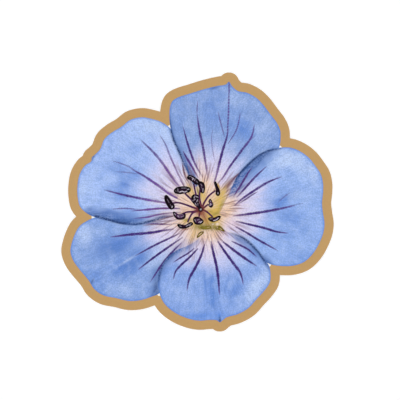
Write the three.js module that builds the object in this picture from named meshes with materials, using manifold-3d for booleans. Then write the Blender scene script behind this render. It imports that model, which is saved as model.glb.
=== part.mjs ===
// Die-cut flower sticker, lying flat, picture side up.
//
// The sticker is a stack of flat sheets that share one cut edge. From the bottom they are a paper
// release liner in two halves with a peel slit between them, a coat of adhesive, a white vinyl
// film, and the print. The print is a mosaic of flat colour areas that meet edge to edge: a plain
// margin and the five petals of a wide-open cranesbill bloom. Veins and sepal tips are printed
// over the mosaic, the filaments over them, and the anthers on top.
//
// Millimetres, +Z up. The flower is drawn about its heart, the point where the petals meet. The
// finished stack is then moved so that the centre of its box is the origin, under the liner.

import * as THREE from 'three';
import { mergeVertices } from 'three/addons/utils/BufferGeometryUtils.js';
import Module from 'manifold-3d';

const wasm = await Module();
wasm.setup();

// Driving dimensions
const BORDER_WIDTH = 2.58;
const LINER_THICKNESS = 0.15;
const ADHESIVE_THICKNESS = 0.03;
const FILM_THICKNESS = 0.1;
const INK_THICKNESS = 0.05;
const SLIT_X = -8;
const SLIT_WIDTH = 0.3;

// Roughness of each finish
const ROUGHNESS = { paper: 0.85, adhesive: 0.4, film: 0.35, ink: 0.35 };

// How finely the curves are drawn
const CUT_POINTS = 180;
const CURVE_STEPS = 3;
const EDGE_SAMPLES = 16;
const RING_POINTS = 40;
const ANTHER_POINTS = 14;
const CORNER_POINTS = 12;

// Levels of the stack, each the height of a layer's underside
const ADHESIVE_LEVEL = LINER_THICKNESS;
const FILM_LEVEL = ADHESIVE_LEVEL + ADHESIVE_THICKNESS;
const MOSAIC_LEVEL = FILM_LEVEL + FILM_THICKNESS;
const VEIN_LEVEL = MOSAIC_LEVEL + INK_THICKNESS;
const FILAMENT_LEVEL = VEIN_LEVEL + INK_THICKNESS;
const ANTHER_LEVEL = FILAMENT_LEVEL + INK_THICKNESS;

// A cutter stands clear of the whole stack, above, below and beside it
const CUTTER_BOTTOM = -1;
const CUTTER_HEIGHT = 3;
const CUTTER_CLEARANCE = 1;

// Petals, from the hindmost to the foremost, each a closed curve through its points
const PETALS = {
  lower_left: [
    [0.8, -2.2], [-5.6, -2], [-14, -1.4], [-23.8, -1.1], [-28.8, -2], [-31.6, -3.1], [-33.9, -4.7],
    [-35.2, -7], [-36.1, -9.7], [-36.4, -11.8], [-35.6, -14.3], [-33.6, -17.1], [-31.4, -19.7],
    [-29.7, -22.3], [-27.2, -24], [-23.5, -24.8], [-19.9, -25.6], [-16.5, -25.3], [-13.7, -24.4],
    [-11.6, -23.5], [-9.5, -20.7], [-6.7, -16.2], [-3.4, -11.5], [0, -6.4],
  ],
  upper_left: [
    [0, 2.5], [-2.8, 10.4], [-5.6, 18.2], [-8.1, 22.3], [-10.6, 24.3], [-13.4, 25.3], [-16.5, 25.8],
    [-19.6, 25.1], [-22.1, 23.2], [-24.9, 21.5], [-26.9, 19.7], [-28.1, 16.9], [-29.5, 15.4],
    [-30.4, 14.6], [-30.6, 13.5], [-32.3, 12.3], [-33.8, 9.9], [-34.4, 7], [-34.4, 3.6],
    [-33.7, 0.8], [-31.6, -1.2], [-29.4, -2.2], [-26, -3.1], [-22.1, -4.1], [-18.2, -4.4],
    [-14, -3.6], [-10.6, -2.5], [-5.6, -2.2], [0, -1.4],
  ],
  top: [
    [0.3, 1.7], [-1.7, 5.9], [-3.2, 9.5], [-4.8, 12.9], [-6.1, 16.2], [-7.6, 19.6], [-8.4, 22.8],
    [-8.7, 26], [-8.5, 28.8], [-7.8, 30.4], [-6.2, 31.4], [-2.8, 32.5], [1.1, 33.7], [4.8, 34.6],
    [7.1, 35], [8, 35.8], [8.7, 34.7], [10.4, 33.2], [12.9, 32.7], [15.4, 31.4], [17.4, 29.5],
    [19.6, 26.6], [21.4, 24.2], [22.3, 22.1], [22.4, 19.9], [22, 17.5], [20.2, 14.8], [16, 11.5],
    [10.1, 7], [3.9, 2.5],
  ],
  right: [
    [3.4, -2.8], [5.9, -0.3], [7.7, 3.4], [8.8, 6.4], [10.6, 9.9], [13.4, 13], [16.5, 15.5],
    [19.3, 16.8], [22.1, 17.3], [25.2, 17.3], [28, 16.2], [30.4, 14.4], [32.3, 12], [33.7, 9.8],
    [34.3, 7.3], [34.3, 4.8], [34, 1.7], [34.3, -1.1], [34.7, -3.9], [34.4, -6.4], [33.2, -9.5],
    [31.5, -12.3], [29.1, -14.6], [26, -15.7], [22.7, -15.8], [19.6, -15.3], [16.2, -13.4],
    [11.2, -9.2], [6.2, -5.3],
  ],
  bottom: [
    [1.4, -4.8], [3.6, -4.8], [6.7, -6], [9.8, -6.9], [12.6, -8.3], [15.4, -10.9], [17.6, -13.8],
    [19.1, -15.6], [19.6, -17.9], [19.4, -20.4], [17.9, -22.7], [15.7, -25.1], [13.4, -27.6],
    [10.4, -29.3], [7.3, -30.2], [6.2, -31], [5.4, -31.6], [4.6, -31], [2.5, -30.9], [-0.3, -31.1],
    [-2.8, -30.7], [-6.4, -29.3], [-9.5, -27], [-11.1, -24.5], [-11.8, -21], [-11.5, -17.5],
    [-9.8, -14.1], [-7, -11.6], [-3.6, -10.1], [-0.8, -8.4],
  ],
};

// Shaded margins: a lens along the edge where a petal lies over its neighbour
const SHADES = [
  {
    petal: 'upper_left',
    width: 4.6,
    edge: [[-29.4, -2.2], [-24, -3.6], [-19, -4.4], [-14, -3.6], [-9.5, -2.4]],
  },
  {
    petal: 'top',
    width: 3.2,
    edge: [[-8.7, 24.6], [-7.6, 19.6], [-5.4, 14.4], [-4, 11.2], [-2.6, 8]],
  },
  {
    petal: 'right',
    width: 5.6,
    edge: [[21.6, 17.3], [16.5, 15.5], [13.4, 13], [10.6, 9.9], [8, 4.2]],
  },
  {
    petal: 'bottom',
    width: 3.8,
    edge: [[-11.4, -23.6], [-11.6, -17.8], [-9.8, -14.1], [-7, -11.6], [-3, -9.8]],
  },
  {
    petal: 'bottom',
    width: 3.4,
    edge: [[18.6, -15.2], [15.4, -10.9], [12.6, -8.3], [8.2, -6.4]],
  },
];

// Pointed strips swell as a sine does, from a share of the half wave to its mirror image: a
// smaller share gives finer ends
const SHADE_END = 0.04;
const SEPAL_END = 0.12;

// Bare film shows in the five notches between petals, where the margin stops short
const BARE_CORNERS = [
  { at: [-8.4, 22.8], radius: 0.9 },
  { at: [-29.4, -2.2], radius: 1.5 },
  { at: [-11.5, -23.5], radius: 0.7 },
  { at: [18.9, -15.2], radius: 0.9 },
  { at: [22.1, 17.3], radius: 0.6 },
];

// Rings of paler colour round the heart, each wider towards the petals' middles
const PETAL_BEARINGS = 5;
const LILAC_RING = { radius: 13.4, lobe: 1.8, bearing: 1.36, centre: [0.4, -0.2] };
const CREAM_RING = { radius: 7.6, lobe: 0.9, bearing: 1.36, centre: [0.8, 0.2] };
const YELLOW_RING = { radius: 3.6, lobe: 0.4, bearing: 1.36, centre: [3.2, 0.6] };

// Veins of each petal, listed round the heart and drawn from the base outwards
const VEIN_BASE_WIDTH = 0.62;
const VEIN_TIP_WIDTH = 0.16;
const VEIN_NET_WIDTH = 0.16;
const VEINS = {
  top: [
    [[-1.4, 10.1], [-3.6, 13.7], [-4.8, 16]],
    [[0.3, 10.4], [-1.7, 13.7], [-3.4, 18.8], [-4.5, 22.1]],
    [[2.5, 8.4], [1.7, 12.9], [1, 17.9], [-0.6, 23], [-1, 26.9]],
    [[4.2, 8.1], [5.5, 13.7], [7.4, 20.4], [7.8, 26.3], [7.8, 33.3]],
    [[6.2, 8.1], [10.4, 14.6], [13.4, 19], [14.8, 23]],
  ],
  upper_left: [
    [[-5.3, 8.1], [-7, 11.5], [-8.7, 15.4], [-11.2, 20.4]],
    [[-6.2, 6.4], [-8.1, 9.2], [-11.2, 13.4], [-16.5, 19.3]],
    [[-6.4, 3.1], [-11.2, 6.2], [-16, 9.5], [-20.7, 12.3], [-24.4, 13.4]],
    [[-9.8, 2], [-14.6, 2.8], [-19.6, 3.6], [-26.9, 5.5]],
    [[-8.4, 0.3], [-14.6, 0], [-19.6, -0.6], [-24.1, 0.3]],
    [[-7.8, -0.8], [-11.2, -1.3], [-14, -2], [-18.2, -2.4]],
  ],
  lower_left: [
    [[-9, -4.2], [-11.2, -4.1], [-14, -3.9]],
    [[-6.2, -5.2], [-11.2, -6], [-16.8, -6.9], [-25.2, -7.8]],
    [[-5, -6.7], [-7.8, -7.8], [-14, -10.6], [-17.9, -12.9]],
    [[-5.3, -8.4], [-8.4, -10.4], [-14, -14], [-17.1, -16.8]],
    [[-5.9, -9.7], [-9.8, -14], [-12.6, -17.9], [-13.7, -19.6]],
  ],
  bottom: [
    [[-1.7, -11.5], [-4.5, -13.2], [-7, -14.6]],
    [[-1.1, -11.5], [-5, -15.4], [-7.3, -18.8]],
    [[1.4, -10.1], [-0.6, -14.8], [-3.1, -19.3], [-3.6, -22.1]],
    [[3.4, -9.5], [4.5, -15.7], [5.2, -22.7]],
    [[5.3, -9.5], [8.7, -14.6], [11.5, -18.5], [11.9, -20.4]],
    [[7.3, -9.5], [11.8, -13.2], [15.4, -15.7]],
    [[8.7, -9], [12.9, -10.9], [15.7, -13.2]],
  ],
  right: [
    [[11.2, 6.4], [12.9, 8.1], [14.6, 10.9]],
    [[10.5, 3.4], [15.1, 8.7], [18.2, 11.6]],
    [[9.5, 0.8], [14.6, 4.2], [19.6, 7.6], [22.7, 9.1]],
    [[9.5, -1.8], [15.1, -1.1], [19.6, -0.3], [25.2, 1]],
    [[10.1, -3.4], [15.4, -4.6], [20.2, -6], [24.1, -6.6]],
    [[10.1, -5.2], [14.6, -7.6], [18.8, -10.1], [21, -11.2]],
  ],
};

// Sepal tips that show between the claws of the petals
const SEPAL_TIPS = [
  { name: 'sepal_tip_left', along: [[-1, -8.3], [0, -7.4], [1, -6.2]], width: 0.9 },
  { name: 'sepal_tip_middle', along: [[0, -5], [1.7, -5.3], [3.4, -5]], width: 1.1 },
  { name: 'sepal_tip_right', along: [[4.5, -4.8], [5.8, -5.4], [7, -6.3]], width: 0.9 },
];

// Filaments run from the heart to their anthers
const FILAMENT_WIDTH = 0.42;
const STYLE_RADIUS = 0.9;
const FILAMENTS = [
  [[0, 0], [-1, 4.2], [-1.8, 7]],
  [[0, 0], [-0.3, 3.4], [-0.1, 5.6]],
  [[0, 0], [-2.8, 2.9], [-4.5, 4.5]],
  [[0, 0], [-4.2, 1.3], [-7.8, 1.9]],
  [[0, 0], [1.5, 2.7], [2.5, 4.1], [4.2, 5.3]],
  [[0, 0], [2.2, 1.5]],
  [[0, 0], [-3.4, -0.7], [-4.8, -1.1]],
  [[0, 0], [-3.1, -2.2], [-3.6, -3.6]],
  [[0, 0], [-0.3, -1.4], [-0.4, -2.1]],
  [[0, 0], [1.7, -0.6], [3.4, -2.1]],
];

// Anthers: a bent oval each, turned by its tilt in degrees
const ANTHERS = [
  { at: [-2.2, 8.3], length: 3.7, width: 1.3, tilt: -34, bend: 0.1 },
  { at: [0.6, 6.3], length: 3.3, width: 1.5, tilt: -76, bend: 0.2 },
  { at: [-5, 5.2], length: 4.6, width: 2.1, tilt: 2, bend: 0 },
  { at: [-8.7, 2], length: 4, width: 1.6, tilt: -62, bend: 0.1 },
  { at: [4.8, 5.6], length: 3.8, width: 1.1, tilt: -72, bend: 0.1 },
  { at: [2.9, 1.7], length: 2.5, width: 1.2, tilt: -68, bend: 0.1 },
  { at: [-1.3, 2.5], length: 3.8, width: 1.9, tilt: -62, bend: 0 },
  { at: [-5.6, -2], length: 3.8, width: 2, tilt: -20, bend: 0.1 },
  { at: [-4, -4.6], length: 4.5, width: 1.1, tilt: 14, bend: -0.4 },
  { at: [-0.5, -3.3], length: 3, width: 1.9, tilt: -8, bend: 0 },
  { at: [4.1, -2.7], length: 3.5, width: 1.2, tilt: 9, bend: -0.3 },
];

const COLOURS = {
  liner: '#ece7db',
  adhesive: '#e9e7df',
  film: '#fbfbf9',
  border: '#c19c68',
  top: '#7ea6e2',
  upper_left: '#93b7ee',
  lower_left: '#87adea',
  bottom: '#8db2ec',
  right: '#9bbcf0',
  shade: '#456cae',
  lilac: '#d6cdf0',
  cream: '#efd8b8',
  yellow: '#cdb04c',
  vein: '#4a2f86',
  sepal: '#8c8426',
  filament: '#4b2350',
  anther: '#1d1220',
};

// A closed mesh as a solid, with its shared corners merged
function solid(geometry) {
  geometry.deleteAttribute('normal');
  geometry.deleteAttribute('uv');
  const merged = mergeVertices(geometry, 1e-4);
  const mesh = new wasm.Mesh({
    numProp: 3,
    vertProperties: new Float32Array(merged.attributes.position.array),
    triVerts: new Uint32Array(merged.index.array),
  });
  return new wasm.Manifold(mesh);
}

// An upright prism on a flat outline
function prism(outline, bottom, height) {
  const settings = { depth: height, bevelEnabled: false };
  const geometry = new THREE.ExtrudeGeometry(new THREE.Shape(outline), settings);
  geometry.translate(0, 0, bottom);
  return solid(geometry);
}

function cutter(outline) {
  return prism(outline, CUTTER_BOTTOM, CUTTER_HEIGHT);
}

// A flat area of the printed mosaic
function inkArea(outline) {
  return prism(outline, MOSAIC_LEVEL, INK_THICKNESS);
}

function union(solids) {
  return solids.reduce((whole, piece) => whole.add(piece));
}

// Points on a smooth curve through the given ones
function curve(points, closed, steps) {
  const corners = points.map(([x, y]) => new THREE.Vector3(x, y, 0));
  const spline = new THREE.CatmullRomCurve3(corners, closed, 'centripetal');
  const spans = closed ? points.length : points.length - 1;
  const line = spline.getPoints(spans * steps).map((point) => new THREE.Vector2(point.x, point.y));
  return closed ? line.slice(0, -1) : line;
}

// A strip along a line, as wide at each point as widthAt says, from 0 at its start to 1 at its end
function strip(points, widthAt) {
  const line = curve(points, false, CURVE_STEPS);
  const left = [];
  const right = [];
  line.forEach((point, i) => {
    const ahead = line[Math.min(i + 1, line.length - 1)];
    const behind = line[Math.max(i - 1, 0)];
    const across = new THREE.Vector2(behind.y - ahead.y, ahead.x - behind.x).normalize();
    const half = widthAt(i / (line.length - 1)) / 2;
    left.push(point.clone().addScaledVector(across, half));
    right.push(point.clone().addScaledVector(across, -half));
  });
  return [...left, ...right.reverse()];
}

// The share of its full width that a pointed strip has, from 0 at its start to 1 at its end
function swell(share, end) {
  return Math.sin(Math.PI * (end + (1 - 2 * end) * share));
}

function circle(x, y, radius, points) {
  const outline = [];
  for (let i = 0; i < points; i += 1) {
    const angle = (2 * Math.PI * i) / points;
    outline.push(new THREE.Vector2(x + radius * Math.cos(angle), y + radius * Math.sin(angle)));
  }
  return outline;
}

// A ring's outline swells once for each petal
function ringOutline({ radius, lobe, bearing, centre }) {
  const outline = [];
  for (let i = 0; i < RING_POINTS; i += 1) {
    const angle = (2 * Math.PI * i) / RING_POINTS;
    const reach = radius + lobe * Math.cos(PETAL_BEARINGS * (angle - bearing));
    const x = centre[0] + reach * Math.cos(angle);
    const y = centre[1] + reach * Math.sin(angle);
    outline.push(new THREE.Vector2(x, y));
  }
  return outline;
}

// The cut edge: in each direction from the heart, the furthest point that is one margin away
// from the flower's edge
function cutOutline() {
  const edge = Object.values(PETALS).flatMap((points) => curve(points, true, EDGE_SAMPLES));
  const outline = [];
  for (let i = 0; i < CUT_POINTS; i += 1) {
    const angle = (2 * Math.PI * i) / CUT_POINTS;
    const ray = new THREE.Vector2(Math.cos(angle), Math.sin(angle));
    let reach = 0;
    for (const point of edge) {
      const ahead = point.dot(ray);
      const aside = Math.abs(point.cross(ray));
      if (ahead > 0 && aside < BORDER_WIDTH) {
        reach = Math.max(reach, ahead + Math.sqrt(BORDER_WIDTH ** 2 - aside ** 2));
      }
    }
    outline.push(ray.multiplyScalar(reach));
  }
  return outline;
}

const stack = new THREE.Group();

function addNode(name, shape, colour, roughness) {
  const { vertProperties, triVerts } = shape.getMesh();
  const geometry = new THREE.BufferGeometry();
  geometry.setAttribute('position', new THREE.BufferAttribute(vertProperties, 3));
  geometry.setIndex(new THREE.BufferAttribute(triVerts, 1));
  geometry.computeVertexNormals();
  const material = new THREE.MeshStandardMaterial({ color: colour, roughness, metalness: 0 });
  const mesh = new THREE.Mesh(geometry, material);
  mesh.name = name;
  stack.add(mesh);
}

// Liner, adhesive and film
function addSheets(edge) {
  const reach = new THREE.Box2().setFromPoints(edge);
  const { min, max } = reach.expandByScalar(CUTTER_CLEARANCE);
  const halves = [
    ['liner_left', min.x, SLIT_X - SLIT_WIDTH / 2],
    ['liner_right', SLIT_X + SLIT_WIDTH / 2, max.x],
  ];
  const liner = prism(edge, 0, LINER_THICKNESS);
  for (const [name, from, to] of halves) {
    const corners = [[from, min.y], [to, min.y], [to, max.y], [from, max.y]];
    const half = cutter(corners.map(([x, y]) => new THREE.Vector2(x, y)));
    addNode(name, liner.intersect(half), COLOURS.liner, ROUGHNESS.paper);
  }
  const coat = prism(edge, ADHESIVE_LEVEL, ADHESIVE_THICKNESS);
  addNode('adhesive', coat, COLOURS.adhesive, ROUGHNESS.adhesive);
  const film = prism(edge, FILM_LEVEL, FILM_THICKNESS);
  addNode('vinyl_film', film, COLOURS.film, ROUGHNESS.film);
}

// The printed mosaic: margin, petals, shaded margins and the rings round the heart
function addMosaic(edge) {
  const order = Object.keys(PETALS);
  const outlines = {};
  const cutters = {};
  order.forEach((name) => {
    outlines[name] = curve(PETALS[name], true, CURVE_STEPS);
    cutters[name] = cutter(outlines[name]);
  });
  const above = (name) => order.slice(order.indexOf(name) + 1).map((other) => cutters[other]);
  const rings = [LILAC_RING, CREAM_RING, YELLOW_RING].map(ringOutline);
  const ringNames = ['glow_lilac', 'throat_cream', 'heart_yellow'];
  const ringColours = [COLOURS.lilac, COLOURS.cream, COLOURS.yellow];
  const lilac = cutter(rings[0]);

  const corners = BARE_CORNERS.map(({ at, radius }) => cutter(circle(...at, radius, CORNER_POINTS)));
  const flower = union([...Object.values(cutters), lilac, ...corners]);
  addNode('print_border', inkArea(edge).subtract(flower), COLOURS.border, ROUGHNESS.ink);

  const shades = SHADES.map(({ petal, width, edge: line }) => ({
    petal,
    outline: strip(line, (share) => width * swell(share, SHADE_END)),
  }));
  order.forEach((name) => {
    const own = shades.filter(({ petal }) => petal === name);
    const covers = [...above(name), lilac];
    own.forEach(({ outline }, i) => {
      const node = own.length > 1 ? `shade_${name}_${i + 1}` : `shade_${name}`;
      const shade = inkArea(outline).intersect(cutters[name]).subtract(union(covers));
      addNode(node, shade, COLOURS.shade, ROUGHNESS.ink);
    });
    covers.push(...own.map(({ outline }) => cutter(outline)));
    const petal = inkArea(outlines[name]).subtract(union(covers));
    addNode(`petal_${name}`, petal, COLOURS[name], ROUGHNESS.ink);
  });
  rings.forEach((outline, i) => {
    let ring = inkArea(outline);
    if (i + 1 < rings.length) {
      ring = ring.subtract(cutter(rings[i + 1]));
    }
    addNode(ringNames[i], ring, ringColours[i], ROUGHNESS.ink);
  });
}

// Veins, one body for each petal: a fine net joins their bases
function addVeins() {
  const taper = (share) => VEIN_BASE_WIDTH + (VEIN_TIP_WIDTH - VEIN_BASE_WIDTH) * share;
  for (const [petal, lines] of Object.entries(VEINS)) {
    const net = strip(lines.map((line) => line[0]), () => VEIN_NET_WIDTH);
    const outlines = [net, ...lines.map((line) => strip(line, taper))];
    const body = union(outlines.map((outline) => prism(outline, VEIN_LEVEL, INK_THICKNESS)));
    addNode(`veins_${petal}`, body, COLOURS.vein, ROUGHNESS.ink);
  }
  for (const { name, along, width } of SEPAL_TIPS) {
    const outline = strip(along, (share) => width * swell(share, SEPAL_END));
    addNode(name, prism(outline, VEIN_LEVEL, INK_THICKNESS), COLOURS.sepal, ROUGHNESS.ink);
  }
}

// Filaments and style in one body, and the anthers above them
function addStamens() {
  const outlines = FILAMENTS.map((line) => strip(line, () => FILAMENT_WIDTH));
  outlines.push(circle(0, 0, STYLE_RADIUS, ANTHER_POINTS));
  const body = union(outlines.map((outline) => prism(outline, FILAMENT_LEVEL, INK_THICKNESS)));
  addNode('filaments', body, COLOURS.filament, ROUGHNESS.ink);

  const earlier = [];
  ANTHERS.forEach(({ at, length, width, tilt, bend }, i) => {
    const turn = THREE.MathUtils.degToRad(tilt);
    const middle = new THREE.Vector2(...at);
    const outline = circle(0, 0, 1, ANTHER_POINTS).map((point) => {
      const along = (point.x * length) / 2;
      const across = (point.y * width) / 2 + bend * (1 - 2 * point.x ** 2);
      return middle.clone().add(new THREE.Vector2(along, across)).rotateAround(middle, turn);
    });
    let anther = prism(outline, ANTHER_LEVEL, INK_THICKNESS);
    if (earlier.length > 0) {
      anther = anther.subtract(union(earlier));
    }
    earlier.push(cutter(outline));
    addNode(`anther_${i + 1}`, anther, COLOURS.anther, ROUGHNESS.ink);
  });
}

const edge = cutOutline();
addSheets(edge);
addMosaic(edge);
addVeins();
addStamens();

// The heart's place in the centred stack
const centre = new THREE.Box2().setFromPoints(edge).getCenter(new THREE.Vector2());
stack.position.set(-centre.x, -centre.y, 0);

export default stack;
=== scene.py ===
"""Die-cut flower sticker: the look of every layer, from the paper liner up to the anthers.

The flower is drawn in millimetres about its heart, the point where the petals meet, in the same
curves as the solids. Each printed piece stands on the film. The washes, veins and shaded edges
are painted on the vertices as amounts of ink, and the materials turn the amounts into colour.
"""

import math

import bpy
import numpy as np
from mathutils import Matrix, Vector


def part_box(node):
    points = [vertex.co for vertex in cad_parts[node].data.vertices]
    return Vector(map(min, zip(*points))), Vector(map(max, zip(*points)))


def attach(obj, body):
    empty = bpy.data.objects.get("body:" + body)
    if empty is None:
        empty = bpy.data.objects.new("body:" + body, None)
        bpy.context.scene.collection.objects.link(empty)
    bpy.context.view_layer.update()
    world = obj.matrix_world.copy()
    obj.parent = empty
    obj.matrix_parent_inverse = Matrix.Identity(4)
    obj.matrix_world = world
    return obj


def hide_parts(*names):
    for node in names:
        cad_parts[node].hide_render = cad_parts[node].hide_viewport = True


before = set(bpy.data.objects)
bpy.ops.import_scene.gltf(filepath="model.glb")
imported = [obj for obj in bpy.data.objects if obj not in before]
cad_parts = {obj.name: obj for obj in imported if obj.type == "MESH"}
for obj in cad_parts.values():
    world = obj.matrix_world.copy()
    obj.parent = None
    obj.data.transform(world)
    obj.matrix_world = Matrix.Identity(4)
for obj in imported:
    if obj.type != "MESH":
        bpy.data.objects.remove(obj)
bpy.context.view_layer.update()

bl_info = {
    "name": "Die-cut Flower Sticker",
    "version": (1, 0, 0),
    "blender": (4, 5, 0),
    "location": "3D View > Sidebar > Sticker",
    "description": "Builds the finished layers of a die-cut vinyl flower sticker",
    "category": "Object",
}

BODY = "root"
MM = 0.001

# How finely the curves are drawn
CUT_POINTS = 900
CURVE_STEPS = 12
PETAL_ACROSS = 250
PETAL_ALONG = 170
THROAT_CELLS = 130
ANTHER_SIDES = 56
ANTHER_RINGS = 28
FILAMENT_CELLS = (5, 36)

# Least values to divide by, so that doubled points do no harm
LEAST_GAP = 1e-4
LEAST_SQUARE = 1e-9

# Petals, from the hindmost to the foremost: the name of a finish slot, which is passed on but not
# used, a closed curve through the outline, and the two points of it, counted from 0, where the
# sides of the petal turn into its far edge
PETALS = {
    "lower_left": {
        "slot": "ink_blue_mid",
        "turns": (6, 19),
        "outline": [
            (0.8, -2.2), (-5.6, -2), (-14, -1.4), (-23.8, -1.1), (-28.8, -2), (-31.6, -3.1),
            (-33.9, -4.7), (-35.2, -7), (-36.1, -9.7), (-36.4, -11.8), (-35.6, -14.3),
            (-33.6, -17.1), (-31.4, -19.7), (-29.7, -22.3), (-27.2, -24), (-23.5, -24.8),
            (-19.9, -25.6), (-16.5, -25.3), (-13.7, -24.4), (-11.6, -23.5), (-9.5, -20.7),
            (-6.7, -16.2), (-3.4, -11.5), (0, -6.4),
        ],
    },
    "upper_left": {
        "slot": "ink_blue_pale",
        "turns": (4, 21),
        "outline": [
            (0, 2.5), (-2.8, 10.4), (-5.6, 18.2), (-8.1, 22.3), (-10.6, 24.3), (-13.4, 25.3),
            (-16.5, 25.8), (-19.6, 25.1), (-22.1, 23.2), (-24.9, 21.5), (-26.9, 19.7),
            (-28.1, 16.9), (-29.5, 15.4), (-30.4, 14.6), (-30.6, 13.5), (-32.3, 12.3),
            (-33.8, 9.9), (-34.4, 7), (-34.4, 3.6), (-33.7, 0.8), (-31.6, -1.2), (-29.4, -2.2),
            (-26, -3.1), (-22.1, -4.1), (-18.2, -4.4), (-14, -3.6), (-10.6, -2.5), (-5.6, -2.2),
            (0, -1.4),
        ],
    },
    "top": {
        "slot": "ink_blue_deep",
        "turns": (8, 25),
        "outline": [
            (0.3, 1.7), (-1.7, 5.9), (-3.2, 9.5), (-4.8, 12.9), (-6.1, 16.2), (-7.6, 19.6),
            (-8.4, 22.8), (-8.7, 26), (-8.5, 28.8), (-7.8, 30.4), (-6.2, 31.4), (-2.8, 32.5),
            (1.1, 33.7), (4.8, 34.6), (7.1, 35), (8, 35.8), (8.7, 34.7), (10.4, 33.2),
            (12.9, 32.7), (15.4, 31.4), (17.4, 29.5), (19.6, 26.6), (21.4, 24.2), (22.3, 22.1),
            (22.4, 19.9), (22, 17.5), (20.2, 14.8), (16, 11.5), (10.1, 7), (3.9, 2.5),
        ],
    },
    "right": {
        "slot": "ink_blue_pale",
        "turns": (8, 25),
        "outline": [
            (3.4, -2.8), (5.9, -0.3), (7.7, 3.4), (8.8, 6.4), (10.6, 9.9), (13.4, 13),
            (16.5, 15.5), (19.3, 16.8), (22.1, 17.3), (25.2, 17.3), (28, 16.2), (30.4, 14.4),
            (32.3, 12), (33.7, 9.8), (34.3, 7.3), (34.3, 4.8), (34, 1.7), (34.3, -1.1),
            (34.7, -3.9), (34.4, -6.4), (33.2, -9.5), (31.5, -12.3), (29.1, -14.6), (26, -15.7),
            (22.7, -15.8), (19.6, -15.3), (16.2, -13.4), (11.2, -9.2), (6.2, -5.3),
        ],
    },
    "bottom": {
        "slot": "ink_blue_mid",
        "turns": (8, 24),
        "outline": [
            (1.4, -4.8), (3.6, -4.8), (6.7, -6), (9.8, -6.9), (12.6, -8.3), (15.4, -10.9),
            (17.6, -13.8), (19.1, -15.6), (19.6, -17.9), (19.4, -20.4), (17.9, -22.7),
            (15.7, -25.1), (13.4, -27.6), (10.4, -29.3), (7.3, -30.2), (6.2, -31), (5.4, -31.6),
            (4.6, -31), (2.5, -30.9), (-0.3, -31.1), (-2.8, -30.7), (-6.4, -29.3), (-9.5, -27),
            (-11.1, -24.5), (-11.8, -21), (-11.5, -17.5), (-9.8, -14.1), (-7, -11.6),
            (-3.6, -10.1), (-0.8, -8.4),
        ],
    },
}

# Bare film shows in the notches between petals, where the margin stops short: place and radius
BARE_CORNERS = [
    (-8.4, 22.8, 0.9), (-29.4, -2.2, 1.1), (-11.5, -23.5, 0.7), (18.9, -15.2, 0.9),
    (22.1, 17.3, 0.6),
]

# Width of the plain margin, how far its print runs in under the petals, and how near a point of a
# petal's edge must pass to a ray from the heart to bound the print there
MARGIN_WIDTH = 2.58
MARGIN_TUCK = 0.6
MARGIN_CONTACT = 0.2

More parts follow.
